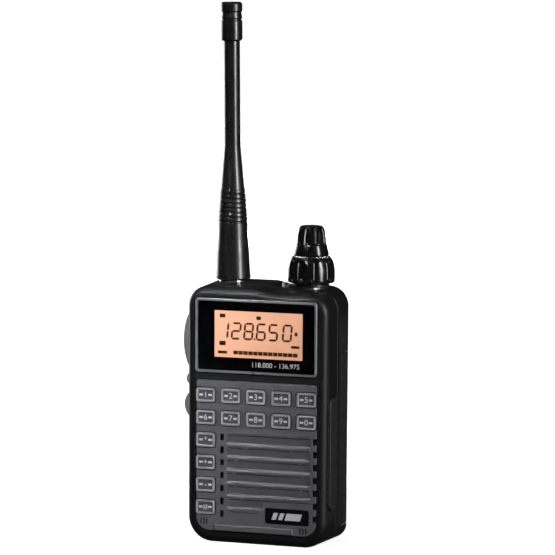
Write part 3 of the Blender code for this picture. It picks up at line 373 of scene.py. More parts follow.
def body_outline(y, inset=0.0):
    """The casing's outline at depth y, with its sloping, stepped deck."""
    back = (y - FRONT_Y) / (BACK_Y - FRONT_Y)
    right_top = DECK_FRONT_RIGHT + (DECK_BACK_RIGHT - DECK_FRONT_RIGHT) * back - inset
    left_top = DECK_FRONT_LEFT + (DECK_BACK_LEFT - DECK_FRONT_LEFT) * back - inset
    base_r = max(BASE_CORNER_R + (BASE_CORNER_BACK_R - BASE_CORNER_R) * back - inset, 0.05 * MM)
    base_x, deck_x = BASE_HALF_W - inset, DECK_HALF_W - inset
    left_r, right_r = TOP_LEFT_R - inset, TOP_RIGHT_R - inset
    step_left, step_right = DECK_STEP_X
    step = []
    for i in range(13):
        t = i / 12
        rise = (left_top - right_top) * eased(t)
        step.append((step_right + (step_left - step_right) * t, right_top + rise))
    return (
        arc(base_x - base_r, inset + base_r, base_r, -90)
        + arc(deck_x - right_r, right_top - right_r, right_r, 0)
        + step
        + arc(-deck_x + left_r, left_top - left_r, left_r, 90)
        + arc(-base_x + base_r, inset + base_r, base_r, 180)
    )


def at_y(points, y):
    return [Vector((x, y, z)) for x, z in points]


def at_x(points, x):
    return [Vector((x, y, z)) for y, z in points]


def edge_insets(radius, steps):
    """(inset, distance from the face) along a quarter round edge, from the face to the side."""
    angles = [math.pi / 2 * i / steps for i in range(steps + 1)]
    return [(radius * (1 - math.sin(a)), radius * (1 - math.cos(a))) for a in angles]


def body_block(name, mat, rings):
    bm = bmesh.new()
    add_loft(bm, [at_y(body_outline(y, inset), y) for inset, y in rings])
    bmesh.ops.triangulate(bm, faces=[face for face in bm.faces if len(face.verts) == 4])
    return solid(name, bm, mat)


def slab(name, mat, half_w, low, high, radii, y_span, front_r=0.0, back_r=0.0, centre_x=0.0, steps=8):
    """A rounded rectangle standing in XZ and thick along Y, with round front or back edges if asked."""
    front, back = y_span
    front_rings = [(i, front + d) for i, d in edge_insets(front_r, 4)] if front_r else [(0, front)]
    back_rings = [(i, back - d) for i, d in edge_insets(back_r, 4)] if back_r else [(0, back)]
    bm = bmesh.new()
    add_loft(bm, [at_y(outline(half_w, low, high, *radii, centre_x, inset, steps), y)
                  for inset, y in front_rings + back_rings[::-1]])
    return solid(name, bm, mat)


def boxes(name, mat, spans):
    """One object of separate boxes, each ((x0, x1), (y0, y1), (z0, z1))."""
    bm = bmesh.new()
    for span in spans:
        size = Vector([high - low for low, high in span])
        middle = Vector([(low + high) / 2 for low, high in span])
        bmesh.ops.create_cube(bm, size=1.0, matrix=Matrix.Translation(middle) @ Matrix.Diagonal((*size, 1)))
    return solid(name, bm, mat)


def filleted(points, radius, steps=4):
    """A closed outline with its corners rounded, where a corner isn't on the axis."""
    made = []
    for i, point in enumerate(points):
        before, here, after = Vector(points[i - 1]), Vector(point), Vector(points[(i + 1) % len(points)])
        if abs(here.x) < 1e-7:
            made.append(tuple(here))
            continue
        to_before, to_after = before - here, after - here
        reach_in = to_before.normalized() * min(radius, to_before.length * 0.45)
        reach_out = to_after.normalized() * min(radius, to_after.length * 0.45)
        for k in range(steps + 1):
            t = k / steps
            made.append(tuple(here + reach_in * (1 - t) ** 2 + reach_out * t * t))
    return made


def turned(name, profile, centre, *materials, axis="Z", sides=96, spin=0.0):
    """A closed profile of (radius, height) turned about an axis through centre."""
    bm = bmesh.new()
    rows = []
    for radius, height in profile:
        count = 1 if radius < 1e-7 else sides
        row = []
        for i in range(count):
            a = 2 * math.pi * i / sides + spin
            row.append(bm.verts.new((radius * math.cos(a), radius * math.sin(a), height)))
        rows.append(row)
    for low, high in zip(rows, rows[1:] + rows[:1]):
        if len(low) == 1 and len(high) == 1:
            continue
        for i in range(sides):
            j = (i + 1) % sides
            corners = [low[i % len(low)], low[j % len(low)], high[j % len(high)], high[i % len(high)]]
            bm.faces.new(list(dict.fromkeys(corners)))
    turn = {"Z": Matrix.Identity(4), "X": Matrix.Rotation(math.radians(90), 4, "Y"),
            "Y": Matrix.Rotation(math.radians(-90), 4, "X")}[axis]
    bm.transform(Matrix.Translation(centre) @ turn)
    return solid(name, bm, *materials)


def cylinder(name, centre, radius, span, axis="Z", sides=48):
    return turned(name, [(0, span[0]), (radius, span[0]), (radius, span[1]), (0, span[1])], centre, CASE,
                  axis=axis, sides=sides)


def add_text(bm, text, height, x, y, z, thickness, material):
    """Raised numerals or signs standing in XZ and facing the front, centred on (x, z)."""
    curve = bpy.data.curves.new("text", "FONT")
    curve.body, curve.size, curve.extrude = text, height * 1.4, thickness / 2
    curve.align_x, curve.align_y = "CENTER", "CENTER"
    obj = bpy.data.objects.new("text", curve)
    mesh = obj.to_mesh()
    mesh.transform(Matrix.Translation((x, y, z)) @ Matrix.Rotation(math.radians(90), 4, "X"))
    start = len(bm.faces)
    bm.from_mesh(mesh)
    bm.faces.ensure_lookup_table()
    for face in bm.faces[start:]:
        face.material_index = material
    obj.to_mesh_clear()
    bpy.data.objects.remove(obj)
    bpy.data.curves.remove(curve)


def add_bar(bm, x_span, z_span, y_span, material, slant=0.0):
    """A flat bar in XZ, its upper edge pushed to the right by slant."""
    (x0, x1), (z0, z1) = x_span, z_span
    ring = [(x0, z0), (x1, z0), (x1 + slant, z1), (x0 + slant, z1)]
    add_loft(bm, [at_y(ring, y) for y in y_span], material)


# ---- casing ----
def node_span(node):
    """A CAD node's low and high corners, and its middle and half width along X."""
    low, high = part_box(node)
    return low, high, (low.x + high.x) / 2, (high.x - low.x) / 2


def key_nodes():
    """(node, x, z) of each key, from the frame."""
    found = []
    for node in sorted(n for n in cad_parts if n.startswith("key_")):
        low, high, x, _ = node_span(node)
        found.append((node, x, (low.z + high.z) / 2))
    return found


def key_windows(name, clearance, y_span):
    bm = bmesh.new()
    for _, x, z in key_nodes():
        half_w, half_h = KEY_W / 2 + clearance, KEY_H / 2 + clearance
        ring = outline(half_w, z - half_h, z + half_h, KEY_R + clearance, KEY_R + clearance, x, 0.0, 5)
        add_loft(bm, [at_y(ring, y) for y in y_span])
    return solid(name, bm, CASE)


def build_front_shell():
    edge = [(inset, FRONT_Y + depth) for inset, depth in edge_insets(FRONT_EDGE_R, 10)]
    lip = [(0.0, PARTING_Y - 0.4 * MM), (0.08 * MM, PARTING_Y - 0.15 * MM), (0.3 * MM, PARTING_Y)]
    shell = body_block("front_shell", CASE, edge + lip)
    cavity = slab("cut_cavity", CASE, *CAVITY, (FRONT_WALL_Y, PARTING_Y + 1 * MM), FRONT_EDGE_R - WALL)
    fascia_low, fascia_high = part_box("control_fascia")
    fascia_seat = slab("cut_fascia", CASE, fascia_high.x + SEAM, fascia_low.z - SEAM, fascia_high.z + SEAM,
                       tuple(r + SEAM for r in FASCIA_RADII), (AHEAD, RECESS_Y))
    rim_low, rim_high, rim_x, rim_half = node_span("display_bezel")
    bezel_seat = slab("cut_bezel", CASE, rim_half + SEAM, rim_low.z - SEAM, rim_high.z + SEAM,
                      (RIM_R + SEAM,) * 2, (AHEAD, RECESS_Y), centre_x=rim_x)
    opening = slab("cut_display", CASE, *DISPLAY_OPENING, (0.6 * MM,) * 2,
                   (AHEAD, FRONT_WALL_Y + 1 * MM), centre_x=LCD_X)
    through = (FRONT_Y, FRONT_WALL_Y + 1 * MM)
    speaker = cylinder("cut_speaker", (SPEAKER_X, 0, SPEAKER_Z), SPEAKER_R, through, "Y")
    side = []
    for node, (low, high, _) in SIDE_BUTTONS.items():
        bm = bmesh.new()
        y0, y1 = SIDE_BUTTON_Y
        ring = outline((y1 - y0) / 2 + SEAM, low - SEAM, high + SEAM, 0.9 * MM, 0.9 * MM, (y0 + y1) / 2)
        add_loft(bm, [at_x(ring, x) for x in (-HALF_W - 1 * MM, -HALF_W + 3 * MM)])
        side.append(solid("cut_" + node, bm, CASE))
    bm = bmesh.new()
    middle, half = sum(COVER_Y) / 2, (COVER_Y[1] - COVER_Y[0]) / 2
    ring = outline(half + SEAM, COVER_Z[0] - SEAM, COVER_Z[1] + SEAM, 2.7 * MM, 2.7 * MM, middle)
    add_loft(bm, [at_x(ring, x) for x in (HALF_W - 0.9 * MM, HALF_W + 1 * MM)])
    cover_seat = solid("cut_cover", bm, CASE)
    jacks = [cylinder(f"cut_jack_{i}", (0, JACK_Y, z), 2.9 * MM, (HALF_W - 4 * MM, HALF_W + 1 * MM), "X")
             for i, z in enumerate(JACK_Z)]
    keys = key_windows("cut_keys", 0.35 * MM, through)
    cut(shell, cavity, fascia_seat, bezel_seat, opening, speaker, *side, cover_seat, *jacks, keys)
    soften(shell, 0.16 * MM)
    settle(shell, "radio", "case_black", "front_case")


def build_rear_shell():
    front = PARTING_Y + SEAM
    lip = [(0.3 * MM, front), (0.08 * MM, front + 0.15 * MM), (0.0, front + 0.4 * MM)]
    edge = [(inset, BACK_Y - depth) for inset, depth in edge_insets(BACK_EDGE_R, 10)]
    shell = body_block("rear_shell", CASE, lip + edge[::-1])
    shallow = slab("cut_front", CASE, *CAVITY, (PARTING_Y - 1 * MM, BAY_Y - 1.4 * MM))
    deep = slab("cut_top", CASE, HALF_W - WALL, BAY_HIGH + 1.7 * MM, BODY_H - WALL, (2.0 * MM, CAVITY_TOP_R),
                (BAY_Y - 2 * MM, 8.4 * MM))
    bay = boxes("cut_bay", CASE, [((-25 * MM, 25 * MM), (BAY_Y, BEHIND), (BAY_LOW, BAY_HIGH))])
    slot = boxes("cut_latch", CASE, [((-LATCH_HALF_W - SEAM, LATCH_HALF_W + SEAM), (LATCH_SLOT_Y, BEHIND),
                                      (BAY_HIGH - 1 * MM, LATCH_HIGH + 2.4 * MM))])
    terminals = boxes("cut_terminals", CASE, [((x - 1.3 * MM, x + 1.3 * MM), (BAY_Y - 3 * MM, BAY_Y + 1 * MM),
                                               (18.0 * MM, 23.0 * MM)) for x in TERMINAL_X])
    spring = cylinder("cut_spring", (0, 11.3 * MM, 0), 1.25 * MM, (LATCH_HIGH + 1 * MM, 75.3 * MM), sides=24)
    socket = cylinder("cut_socket", (ANTENNA_X, TOP_Y, 0), 3.6 * MM, (75 * MM, 90 * MM))
    knob = cylinder("cut_knob", (KNOB_X, TOP_Y, 0), 4.5 * MM, (79 * MM, 90 * MM))
    status = cylinder("cut_status", (INDICATOR_X, INDICATOR_Y, 0), 1.5 * MM, (79 * MM, 90 * MM))
    seats = []
    for number, (x, z, y) in enumerate(SCREWS, 1):
        well = [(0, y + 2 * MM), (1.9 * MM, y + 2 * MM), (1.9 * MM, y - 1.7 * MM), (1.15 * MM, y - 1.7 * MM),
                (1.15 * MM, y - 12 * MM), (0, y - 12 * MM)]
        seats.append(turned(f"cut_screw_{number}", well, (x, 0, z), CASE, axis="Y", sides=40))
    cut(shell, shallow, deep, bay, slot, terminals, spring, socket, knob, status, *seats)
    soften(shell, 0.16 * MM)
    settle(shell, "radio", "case_black", "rear_chassis")


def build_seals():
    """Rings that stop light passing straight through the shells' seam and round the battery."""
    y_span = (PARTING_Y - 0.2 * MM, PARTING_Y + SEAM - 0.03 * MM)
    outer = [at_y(body_outline(y, 0.5 * MM), y) for y in y_span]
    inner = [at_y(body_outline(y, 1.3 * MM), y) for y in y_span[::-1]]
    bm = bmesh.new()
    add_loft(bm, outer + inner + outer[:1], caps=(False, False))
    bmesh.ops.remove_doubles(bm, verts=bm.verts, dist=0.001 * MM)
    settle(solid("seam_seal", bm, COVER_RUBBER), "radio", "case_black")

    y_span = (BAY_Y + 0.04 * MM, BAY_Y + SEAM + 0.1 * MM)
    low, high = BAY_LOW + 1.2 * MM, BAY_HIGH - 3.2 * MM
    seal = slab("battery_seal", COVER_RUBBER, 22.2 * MM, low, high, (2.0 * MM,) * 2, y_span, 0.1 * MM)
    cut(seal, slab("cut_seal", COVER_RUBBER, 21.2 * MM, low + 1 * MM, high - 1 * MM, (1.4 * MM,) * 2,
                   (BAY_Y - 1 * MM, BAY_Y + 2 * MM)))
    settle(seal, "battery", "case_black")


def build_battery():
    low, high = BAY_LOW + SEAM, BAY_HIGH - SEAM
    across = (-HALF_W - 1 * MM, HALF_W + 1 * MM)
    back_edge = [(inset, BACK_Y - depth) for inset, depth in edge_insets(BACK_EDGE_R, 10)][::-1]
    catch_x, catch_z = (-CATCH_HALF_W, CATCH_HALF_W), (CATCH_Z, BAY_HIGH + 1 * MM)
    catch = (catch_x, (BAY_Y, CATCH_LIP_Y), catch_z)
    catch_back = (catch_x, (CATCH_LIP_Y + 1.0 * MM, BEHIND), catch_z)

    tray = body_block("battery_base", CASE, [(0.0, BAY_Y + SEAM), *back_edge])
    combine("INTERSECT", tray, boxes("keep", CASE, [(across, (BAY_Y, TRAY_Y), (low, high))]))
    pads = [((x - 1.9 * MM, x + 1.9 * MM), (BAY_Y, BAY_Y + 1.0 * MM), (17.6 * MM, 23.4 * MM))
            for x in TERMINAL_X]
    screw_room = ((-2.4 * MM, 2.4 * MM), (BAY_Y, BAY_Y + 0.6 * MM), (7.6 * MM, 12.4 * MM))
    cut(tray, boxes("cut_pads", CASE, [*pads, screw_room, catch]))
    soften(tray, 0.18 * MM)
    settle(tray, "battery", "case_black", "battery_tray")

    cover = body_block("battery_back", CASE, [(0.0, TRAY_Y + 0.1 * MM), *back_edge])
    combine("INTERSECT", cover, boxes("keep", CASE, [(across, (TRAY_Y - 1 * MM, BEHIND), (low, high))]))
    hollow = boxes("cut_hollow", CASE, [((-21.4 * MM, 21.4 * MM), (TRAY_Y - 1 * MM, BACK_Y - 1.3 * MM),
                                         (low + 2.6 * MM, CATCH_Z - 1.3 * MM))])
    recess = slab("cut_recess", CASE, 15.0 * MM, 13.0 * MM, 41.0 * MM, (2.0 * MM,) * 2,
                  (BACK_Y - 0.35 * MM, BEHIND))
    grips = [slab("cut_grip", CASE, 11.0 * MM, z * MM, z * MM + 1.1 * MM, (0.5 * MM,) * 2,
                  (BACK_Y - 0.45 * MM, BEHIND)) for z in (46.5, 48.9, 51.3, 53.7)]
    catches = [boxes("cut_catch", CASE, [span]) for span in (catch, catch_back)]
    cut(cover, hollow, *catches, recess, *grips)
    soften(cover, 0.18 * MM)
    settle(cover, "battery", "case_black", "battery_cover")


def build_latch():
    latch = slab("latch_slide", CASE, LATCH_HALF_W, LATCH_LOW, LATCH_HIGH, (0.6 * MM,) * 2,
                 (LATCH_SLOT_Y + SEAM, BACK_Y - 0.3 * MM), 0.0, 0.3 * MM)
    tooth = boxes("tooth", CASE, [((-LATCH_HALF_W + 1 * MM, LATCH_HALF_W - 1 * MM),
                                   (CATCH_LIP_Y + 1.3 * MM, CATCH_LIP_Y + 2.5 * MM),
                                   (CATCH_Z + 0.4 * MM, LATCH_LOW + 1 * MM))])
    ridges = [slab("ridge", CASE, 4.5 * MM, z * MM, z * MM + 0.6 * MM, (0.28 * MM,) * 2,
                   (BACK_Y - 0.7 * MM, BACK_Y + 0.1 * MM), 0.0, 0.2 * MM) for z in (64.6, 66.0, 67.4)]
    combine("UNION", latch, tooth, *ridges)
    soften(latch, 0.12 * MM)
    settle(latch, "latch", "case_black", "battery_latch")


def build_latch_spring():
    """A coil of round wire, which the latch is pushed up against."""
    low, high, centre_x, half = node_span("latch_spring")
    centre_y, wire = (low.y + high.y) / 2, 0.17 * MM
    coil_r = half - wire
    turns, steps, sides = 7, 20, 8
    bm = bmesh.new()
    rings = []
    for i in range(turns * steps + 1):
        t = i / (turns * steps)
        a = 2 * math.pi * turns * t
        out = Vector((math.cos(a), math.sin(a), 0))
        middle = Vector((centre_x, centre_y, low.z + wire + (high.z - low.z - 2 * wire) * t)) + out * coil_r
        angles = [2 * math.pi * k / sides for k in range(sides)]
        rings.append([middle + out * wire * math.cos(b) + Vector((0, 0, wire * math.sin(b))) for b in angles])
    add_loft(bm, rings)
    spring = solid("latch_coil", bm, STEEL)
    settle(spring, "radio", "steel", "latch_spring")
    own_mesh(spring)


# ---- fascia and display ----
def channel_zs():
    return [CHANNEL_TOP_Z - CHANNEL_PITCH * i for i in range(CHANNELS)]


def channel_right(z):
    """The channels beside the name plate stop short of it."""
    return PLATE_X[0] - 0.8 * MM if z < PLATE_Z[1] else GRILLE_RIGHT


def louvre(z, right):
    """Cuts the face that slopes inwards from the slot at z down to the next rib."""
    start, end, deep = z - 0.1 * MM, z - 3.35 * MM, FASCIA_Y + 0.45 * MM
    ring = [(FASCIA_Y - 1 * MM, start), (FASCIA_Y, start), (deep, end + 1.05 * MM),
            (deep - 0.03 * MM, end + 0.9 * MM), (FASCIA_Y - 0.1 * MM, end), (FASCIA_Y - 1 * MM, end)]
    bm = bmesh.new()
    add_loft(bm, [at_x(ring, x) for x in (GRILLE_LEFT, right)])
    return solid("cut_louvre", bm, FASCIA)


def build_fascia():
    low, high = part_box("control_fascia")
    panel = slab("fascia_panel", FASCIA, high.x, low.z, high.z, FASCIA_RADII, (FASCIA_Y, high.y), 0.3 * MM,
                 steps=12)
    ribs, louvres, slots = [], [], []
    for z in channel_zs():
        right = channel_right(z)
        middle, half = (right + GRILLE_LEFT) / 2, (right - GRILLE_LEFT) / 2
        ribs.append(slab("rib", FASCIA, half, z + 0.2 * MM, z + 1.4 * MM, (0.55 * MM,) * 2,
                         (RIB_Y, FASCIA_Y + 0.5 * MM), 0.55 * MM, centre_x=middle))
        if z < CHANNEL_TOP_Z:
            louvres.append(louvre(z + CHANNEL_PITCH, right))
        slots.append((middle, half - 0.2 * MM, z - CHANNEL_H / 2, z + CHANNEL_H / 2))
        pocket = (z - 1.95 * MM, z + 0.25 * MM)
        slots.append((GRILLE_LEFT - 1.6 * MM, 0.65 * MM, *pocket))
        slots.append((GRILLE_RIGHT + 1.7 * MM, 1.0 * MM, *pocket))
    ribs.append(slab("lip", FASCIA, 13.45 * MM, 4.15 * MM, 6.35 * MM, (0.6 * MM,) * 2,
                     (FRONT_Y - 0.8 * MM, FASCIA_Y + 0.5 * MM), 0.55 * MM, centre_x=-0.75 * MM))
    cut(panel, *louvres)
    combine("UNION", panel, *ribs)
    for middle, low_z in ((16.0 * MM, 4.7 * MM), (-17.7 * MM, 6.1 * MM)):
        for x in (middle - 1 * MM, middle, middle + 1 * MM):
            slots.append((x, 0.22 * MM, low_z, low_z + 2.1 * MM))
    through = (FRONT_Y - 2 * MM, FRONT_Y + 3 * MM)
    bm = bmesh.new()
    for x, half, low_z, high_z in slots:
        radius = min(0.2 * MM, (high_z - low_z) * 0.4)
        add_loft(bm, [at_y(outline(half, low_z, high_z, radius, radius, x, 0.0, 4), y) for y in through])
    slot_cutter = solid("cut_slots", bm, FASCIA)
    plate_seat = slab("cut_plate", FASCIA, (PLATE_X[1] - PLATE_X[0]) / 2 + 0.2 * MM, PLATE_Z[0] - 0.2 * MM,
                      PLATE_Z[1] + 0.2 * MM, (0.5 * MM,) * 2, (FRONT_Y - 2 * MM, FASCIA_Y + 0.4 * MM),
                      centre_x=sum(PLATE_X) / 2)
    cut(panel, slot_cutter, key_windows("cut_key_windows", 0.3 * MM, through), plate_seat)
    soften(panel, 0.1 * MM, 2)
    settle(panel, "radio", "fascia_grey", "control_fascia")

    low, high, middle, half = node_span("name_plate")
    plate = slab("blank_plate", GLOSS, half, low.z, high.z, (0.4 * MM,) * 2, (low.y, high.y), 0.12 * MM,
                 centre_x=middle)
    settle(plate, "radio", "gloss_black", "name_plate")
    bm = bmesh.new()
    for start, width in ((5.4, 1.5), (7.6, 1.5), (9.8, 5.2)):
        add_bar(bm, (start * MM, (start + width) * MM), (9.0 * MM, 11.3 * MM),
                (low.y - 0.05 * MM, low.y + 0.05 * MM), 0, 0.8 * MM)
    settle(soften(solid("plate_stripes", bm, INK), 0.04 * MM, 2), "radio", "keycap")


def build_keys():
    """Each cap has a flange behind the front wall, a pale rim, a dark dished centre and a pale sign. The
    rim's pale colour is partly its paint and partly a painted highlight, for the light that the raised rim
    catches.
    """
    wall = FRONT_WALL_Y + SEAM
    flange = [(-0.55 * MM, FRONT_WALL_Y + 0.9 * MM), (-0.55 * MM, wall), (0.0, wall)]
    for (node, x, z), legend in zip(key_nodes(), KEY_LEGENDS):
        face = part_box(node)[0].y
        crown = [(inset * MM, face + depth * MM) for inset, depth in KEY_CROWN]
        rings = [at_y(outline(KEY_W / 2, z - KEY_H / 2, z + KEY_H / 2, KEY_R, KEY_R, x, inset, 6), y)
                 for inset, y in flange + crown]
        bm = bmesh.new()
        # The bands marked 1 take the pale rim colour, which is partly a painted highlight.
        add_loft(bm, rings, [0, 0, 0, 0, 1, 1, 1, 1, 1, 2, 2])
        bmesh.ops.recalc_face_normals(bm, faces=bm.faces)
        ink_y = face + 0.33 * MM
        add_text(bm, legend, 1.9 * MM, x, ink_y, z, 0.08 * MM, 3)
        for bar_x in (x - 1.55 * MM, x + 1.55 * MM):
            add_bar(bm, (bar_x - 0.6 * MM, bar_x + 0.6 * MM), (z - 0.32 * MM, z + 0.32 * MM),
                    (ink_y - 0.04 * MM, ink_y + 0.04 * MM), 3)
        settle(solid("cap_" + node[-2:], bm, KEY_SIDE, KEY_RIM_PAINT_AND_HIGHLIGHT, KEY_FACE, INK), node, "keycap", node)


SEGMENTS = {"0": "abcdef", "1": "bc", "2": "abged", "5": "afgcd", "6": "afgedc", "8": "abcdefg"}


def add_digit(bm, sign, x, z, y_span):
    """A seven-segment digit, leaning slightly, centred on (x, z)."""
    half_w, half_h, stroke, gap, lean = 1.35 * MM, 2.5 * MM, 0.64 * MM, 0.08 * MM, 0.09
    ends = {"a": ((-1, 2), (1, 2)), "b": ((1, 2), (1, 1)), "c": ((1, 1), (1, 0)), "d": ((-1, 0), (1, 0)),
            "e": ((-1, 1), (-1, 0)), "f": ((-1, 2), (-1, 1)), "g": ((-1, 1), (1, 1))}
    for segment in SEGMENTS[sign]:
        a, b = (Vector((u * half_w, (v - 1) * half_h)) for u, v in ends[segment])
        along = (b - a).normalized()
        across = Vector((-along.y, along.x)) * stroke / 2
        a, b = a + along * gap, b - along * gap
        tip = along * stroke / 2
        ring = [a, a + tip + across, b - tip + across, b, b - tip - across, a + tip - across]
        add_loft(bm, [at_y([(x + p.x + p.y * lean, z + p.y) for p in ring], y) for y in y_span])


def build_display():
    low, high, middle, half = node_span("display_bezel")
    rim = slab("display_frame", FRAME, half, low.z, high.z, (RIM_R,) * 2, (low.y, high.y), 0.35 * MM,
               centre_x=middle)
    inner = slab("cut_inner", FRAME, half - RIM_W, low.z + RIM_W, high.z - RIM_W, (0.7 * MM,) * 2,
                 (low.y - 1 * MM, high.y + 1 * MM), centre_x=middle)
    soften(cut(rim, inner), 0.12 * MM)
    settle(rim, "radio", "bezel_silver", "display_bezel")

    low, high, _, half = node_span("window_lens")
    lens = slab("display_window", WINDOW, half, low.z, high.z, (0.6 * MM,) * 2, (low.y, high.y), 0.15 * MM,
                centre_x=middle)
    settle(lens, "radio", "clear_lens", "window_lens")
    mask_low, mask_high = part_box("window_mask")
    mask = slab("display_mask", GLOSS, half, mask_low.z, mask_high.z, (0.6 * MM,) * 2,
                (mask_low.y, mask_high.y), centre_x=middle)
    cut(mask, slab("cut_lcd", GLOSS, LCD_HALF_W, LCD_LOW, LCD_HIGH, (0.25 * MM,) * 2, (FRONT_Y, FRONT_WALL_Y),
                   centre_x=LCD_X))
    settle(soften(mask, 0.05 * MM, 2), "radio", "gloss_black", "window_mask")
    bm = bmesh.new()
    add_text(bm, "118.000 - 136.975", 1.6 * MM, 6.4 * MM, low.y - 0.02 * MM, 58.9 * MM, 0.04 * MM, 0)
    settle(solid("band_legend", bm, INK), "radio", "keycap")

    low, high, _, half = node_span("lcd_panel")
    panel = slab("lcd_face", LCD, half, low.z, high.z, (0.3 * MM,) * 2, (low.y, high.y), 0.1 * MM,
                 centre_x=LCD_X)
    settle(panel, "radio", "lcd_amber", "lcd_panel")
    ink = (low.y - 0.06 * MM, low.y + 0.02 * MM)
    bm = bmesh.new()
    for sign, x in zip("128650", (-11.4, -7.2, -3.0, 1.2, 5.3, 10.0)):
        add_digit(bm, sign, x * MM, 69.5 * MM, ink)
    add_bar(bm, (-1.25 * MM, -0.75 * MM), (66.75 * MM, 67.3 * MM), ink, 0)
    for x, width, z, height in ((-12.8, 1.9, 73.7, 1.2), (-0.4, 1.5, 73.4, 1.1), (-12.9, 2.1, 64.7, 1.4),
                                (11.3, 2.8, 64.7, 0.8), (12.5, 0.9, 68.7, 1.2), (-13.4, 3.1, 62.0, 0.9)):
        add_bar(bm, (x * MM, (x + width) * MM), (z * MM, (z + height) * MM), ink, 0)
    bars = 13
    for i in range(bars):
        start = (-8.1 + 21.7 * i / bars) * MM
        add_bar(bm, (start, start + 1.5 * MM), (61.9 * MM, 63.1 * MM), ink, 0)
    settle(solid("lcd_segments", bm, LCD_INK), "radio", "gloss_black")


# ---- side controls ----
def build_side_controls():
    for node, (low, high, crown) in SIDE_BUTTONS.items():
        flange_z, flange_x = 0.9 * MM, SIDE_BUTTON_INNER_X - 0.9 * MM
        y0, y1 = SIDE_BUTTON_Y
        steps, rows = 40, 16
        rings = []
        for row in range(rows + 1):
            across = -math.cos(math.pi * row / rows)
            crown_here = (1 - abs(across) ** 4) ** 0.25
            profile = [(flange_x, high), (flange_x, high + flange_z), (SIDE_BUTTON_INNER_X, high + flange_z),
                       (SIDE_BUTTON_INNER_X, low - flange_z), (flange_x, low - flange_z), (flange_x, low)]
            for i in range(steps + 1):
                t = i / steps
                rise = 0.3 * MM + (crown - 0.3 * MM) * math.sin(math.pi * t) ** 0.6
                profile.append((-HALF_W + 0.4 * MM - (rise + 0.4 * MM) * crown_here, low + (high - low) * t))
            rings.append(at_y(profile, (y0 + y1) / 2 + across * (y1 - y0) / 2))
        bm = bmesh.new()
        add_loft(bm, rings)
        body = {"ptt_button": "ptt", "monitor_button": "monitor", "lamp_button": "lamp"}[node]
        pad = soften(solid(node.replace("button", "pad"), bm, BUTTON), 0.15 * MM, 2, 60)
        settle(pad, body, "side_rubber", node)

    half, middle = (COVER_Y[1] - COVER_Y[0]) / 2, sum(COVER_Y) / 2
    bm = bmesh.new()
    sections = in_mm([(0, 23.4), (0, 24.15), (0.05, 24.32), (0.18, 24.46), (0.38, 24.56), (0.7, 24.6)])
    add_loft(bm, [at_x(outline(half, *COVER_Z, 2.4 * MM, 2.4 * MM, middle, inset, 12), x)
                  for inset, x in sections])
    cover = solid("jack_cover_skin", bm, COVER_RUBBER)
    notch = []
    for i, z in enumerate(k * MM for k in (44.2, 45.3, 46.4)):
        bm = bmesh.new()
        ring = outline(2.2 * MM, z, z + 0.5 * MM, 0.24 * MM, 0.24 * MM, middle)
        add_loft(bm, [at_x(ring, x) for x in (24.3 * MM, 25 * MM)])
        notch.append(solid(f"cut_notch_{i}", bm, COVER_RUBBER))
    soften(cut(cover, *notch), 0.1 * MM, 2)
    settle(cover, "jack_flap", "rubber", "jack_cover")


# ---- top deck ----
def leaned(obj):
    """Tilts a piece with the antenna about the whip's foot."""
    pivot = Matrix.Translation((ANTENNA_X, TOP_Y, WHIP_BASE_Z))
    obj.data.transform(pivot @ Matrix.Rotation(math.radians(ANTENNA_LEAN), 4, "Y") @ pivot.inverted())
    return obj


def build_antenna():
    centre = (ANTENNA_X, TOP_Y, 0)
    outer = [(4.8, 84.7), (5.5, 84.7), (5.75, 85.0), (5.55, 87.4), (5.3, 93.3), (4.93, 98.0), (4.8, 103.0)]
    for i in range(7):
        low, radius = 103.2 + 1.5 * i, 4.8 - 0.65 * i / 6
        outer += [(radius - 0.25, low), (radius - 0.25, low + 0.35), (radius, low + 0.5),
                  (radius - 0.05, low + 1.5)]
    outer += [(3.95, 113.9), (3.3, 121.0), (2.66, 128.0), (2.62, 140.0), (2.62, 161.9), (1.2, 161.9),
              (1.2, 93.0), (4.8, 93.0)]
    profile = filleted(in_mm(outer), 0.16 * MM)
    settle(leaned(turned("whip_sheath", profile, centre, RUBBER)), "antenna", "rubber", "antenna_sheath")

    cap_r = 3.47
    cap = [(0, 161.9), (3.2, 161.9), (cap_r, 162.2), (cap_r, 168.3)]
    for groove in (168.3, 170.6):
        cap += [(cap_r - 0.3, groove + 0.1), (cap_r - 0.3, groove + 0.7), (cap_r, groove + 0.8)]
    cap += [(cap_r, 173.6), (3.25, 174.1), (2.9, 174.4), (0, 174.4)]
    profile = filleted(in_mm(cap), 0.2 * MM)
    settle(leaned(turned("whip_cap", profile, centre, RUBBER)), "antenna", "rubber", "antenna_tip_cap")

    stud = [(0, 76.0), (3.3, 76.0), (3.3, 79.4), (4.5, 79.4), (4.5, 80.8), (3.3, 80.8), (3.3, 83.9),
            (4.6, 83.9), (4.6, 84.3), (4.4, 84.5), (3.05, 84.5)]
    for i in range(8):
        z = 85.2 + 0.6 * i
        stud += [(3.05, z), (2.85, z + 0.15), (3.05, z + 0.3)]
    stud += [(3.05, 90.2), (2.75, 90.5), (1.2, 90.5), (1.2, 87.0), (0, 87.0)]
    settle(leaned(turned("antenna_stud", in_mm(stud), centre, NICKEL)), "radio", "nickel", "antenna_socket")


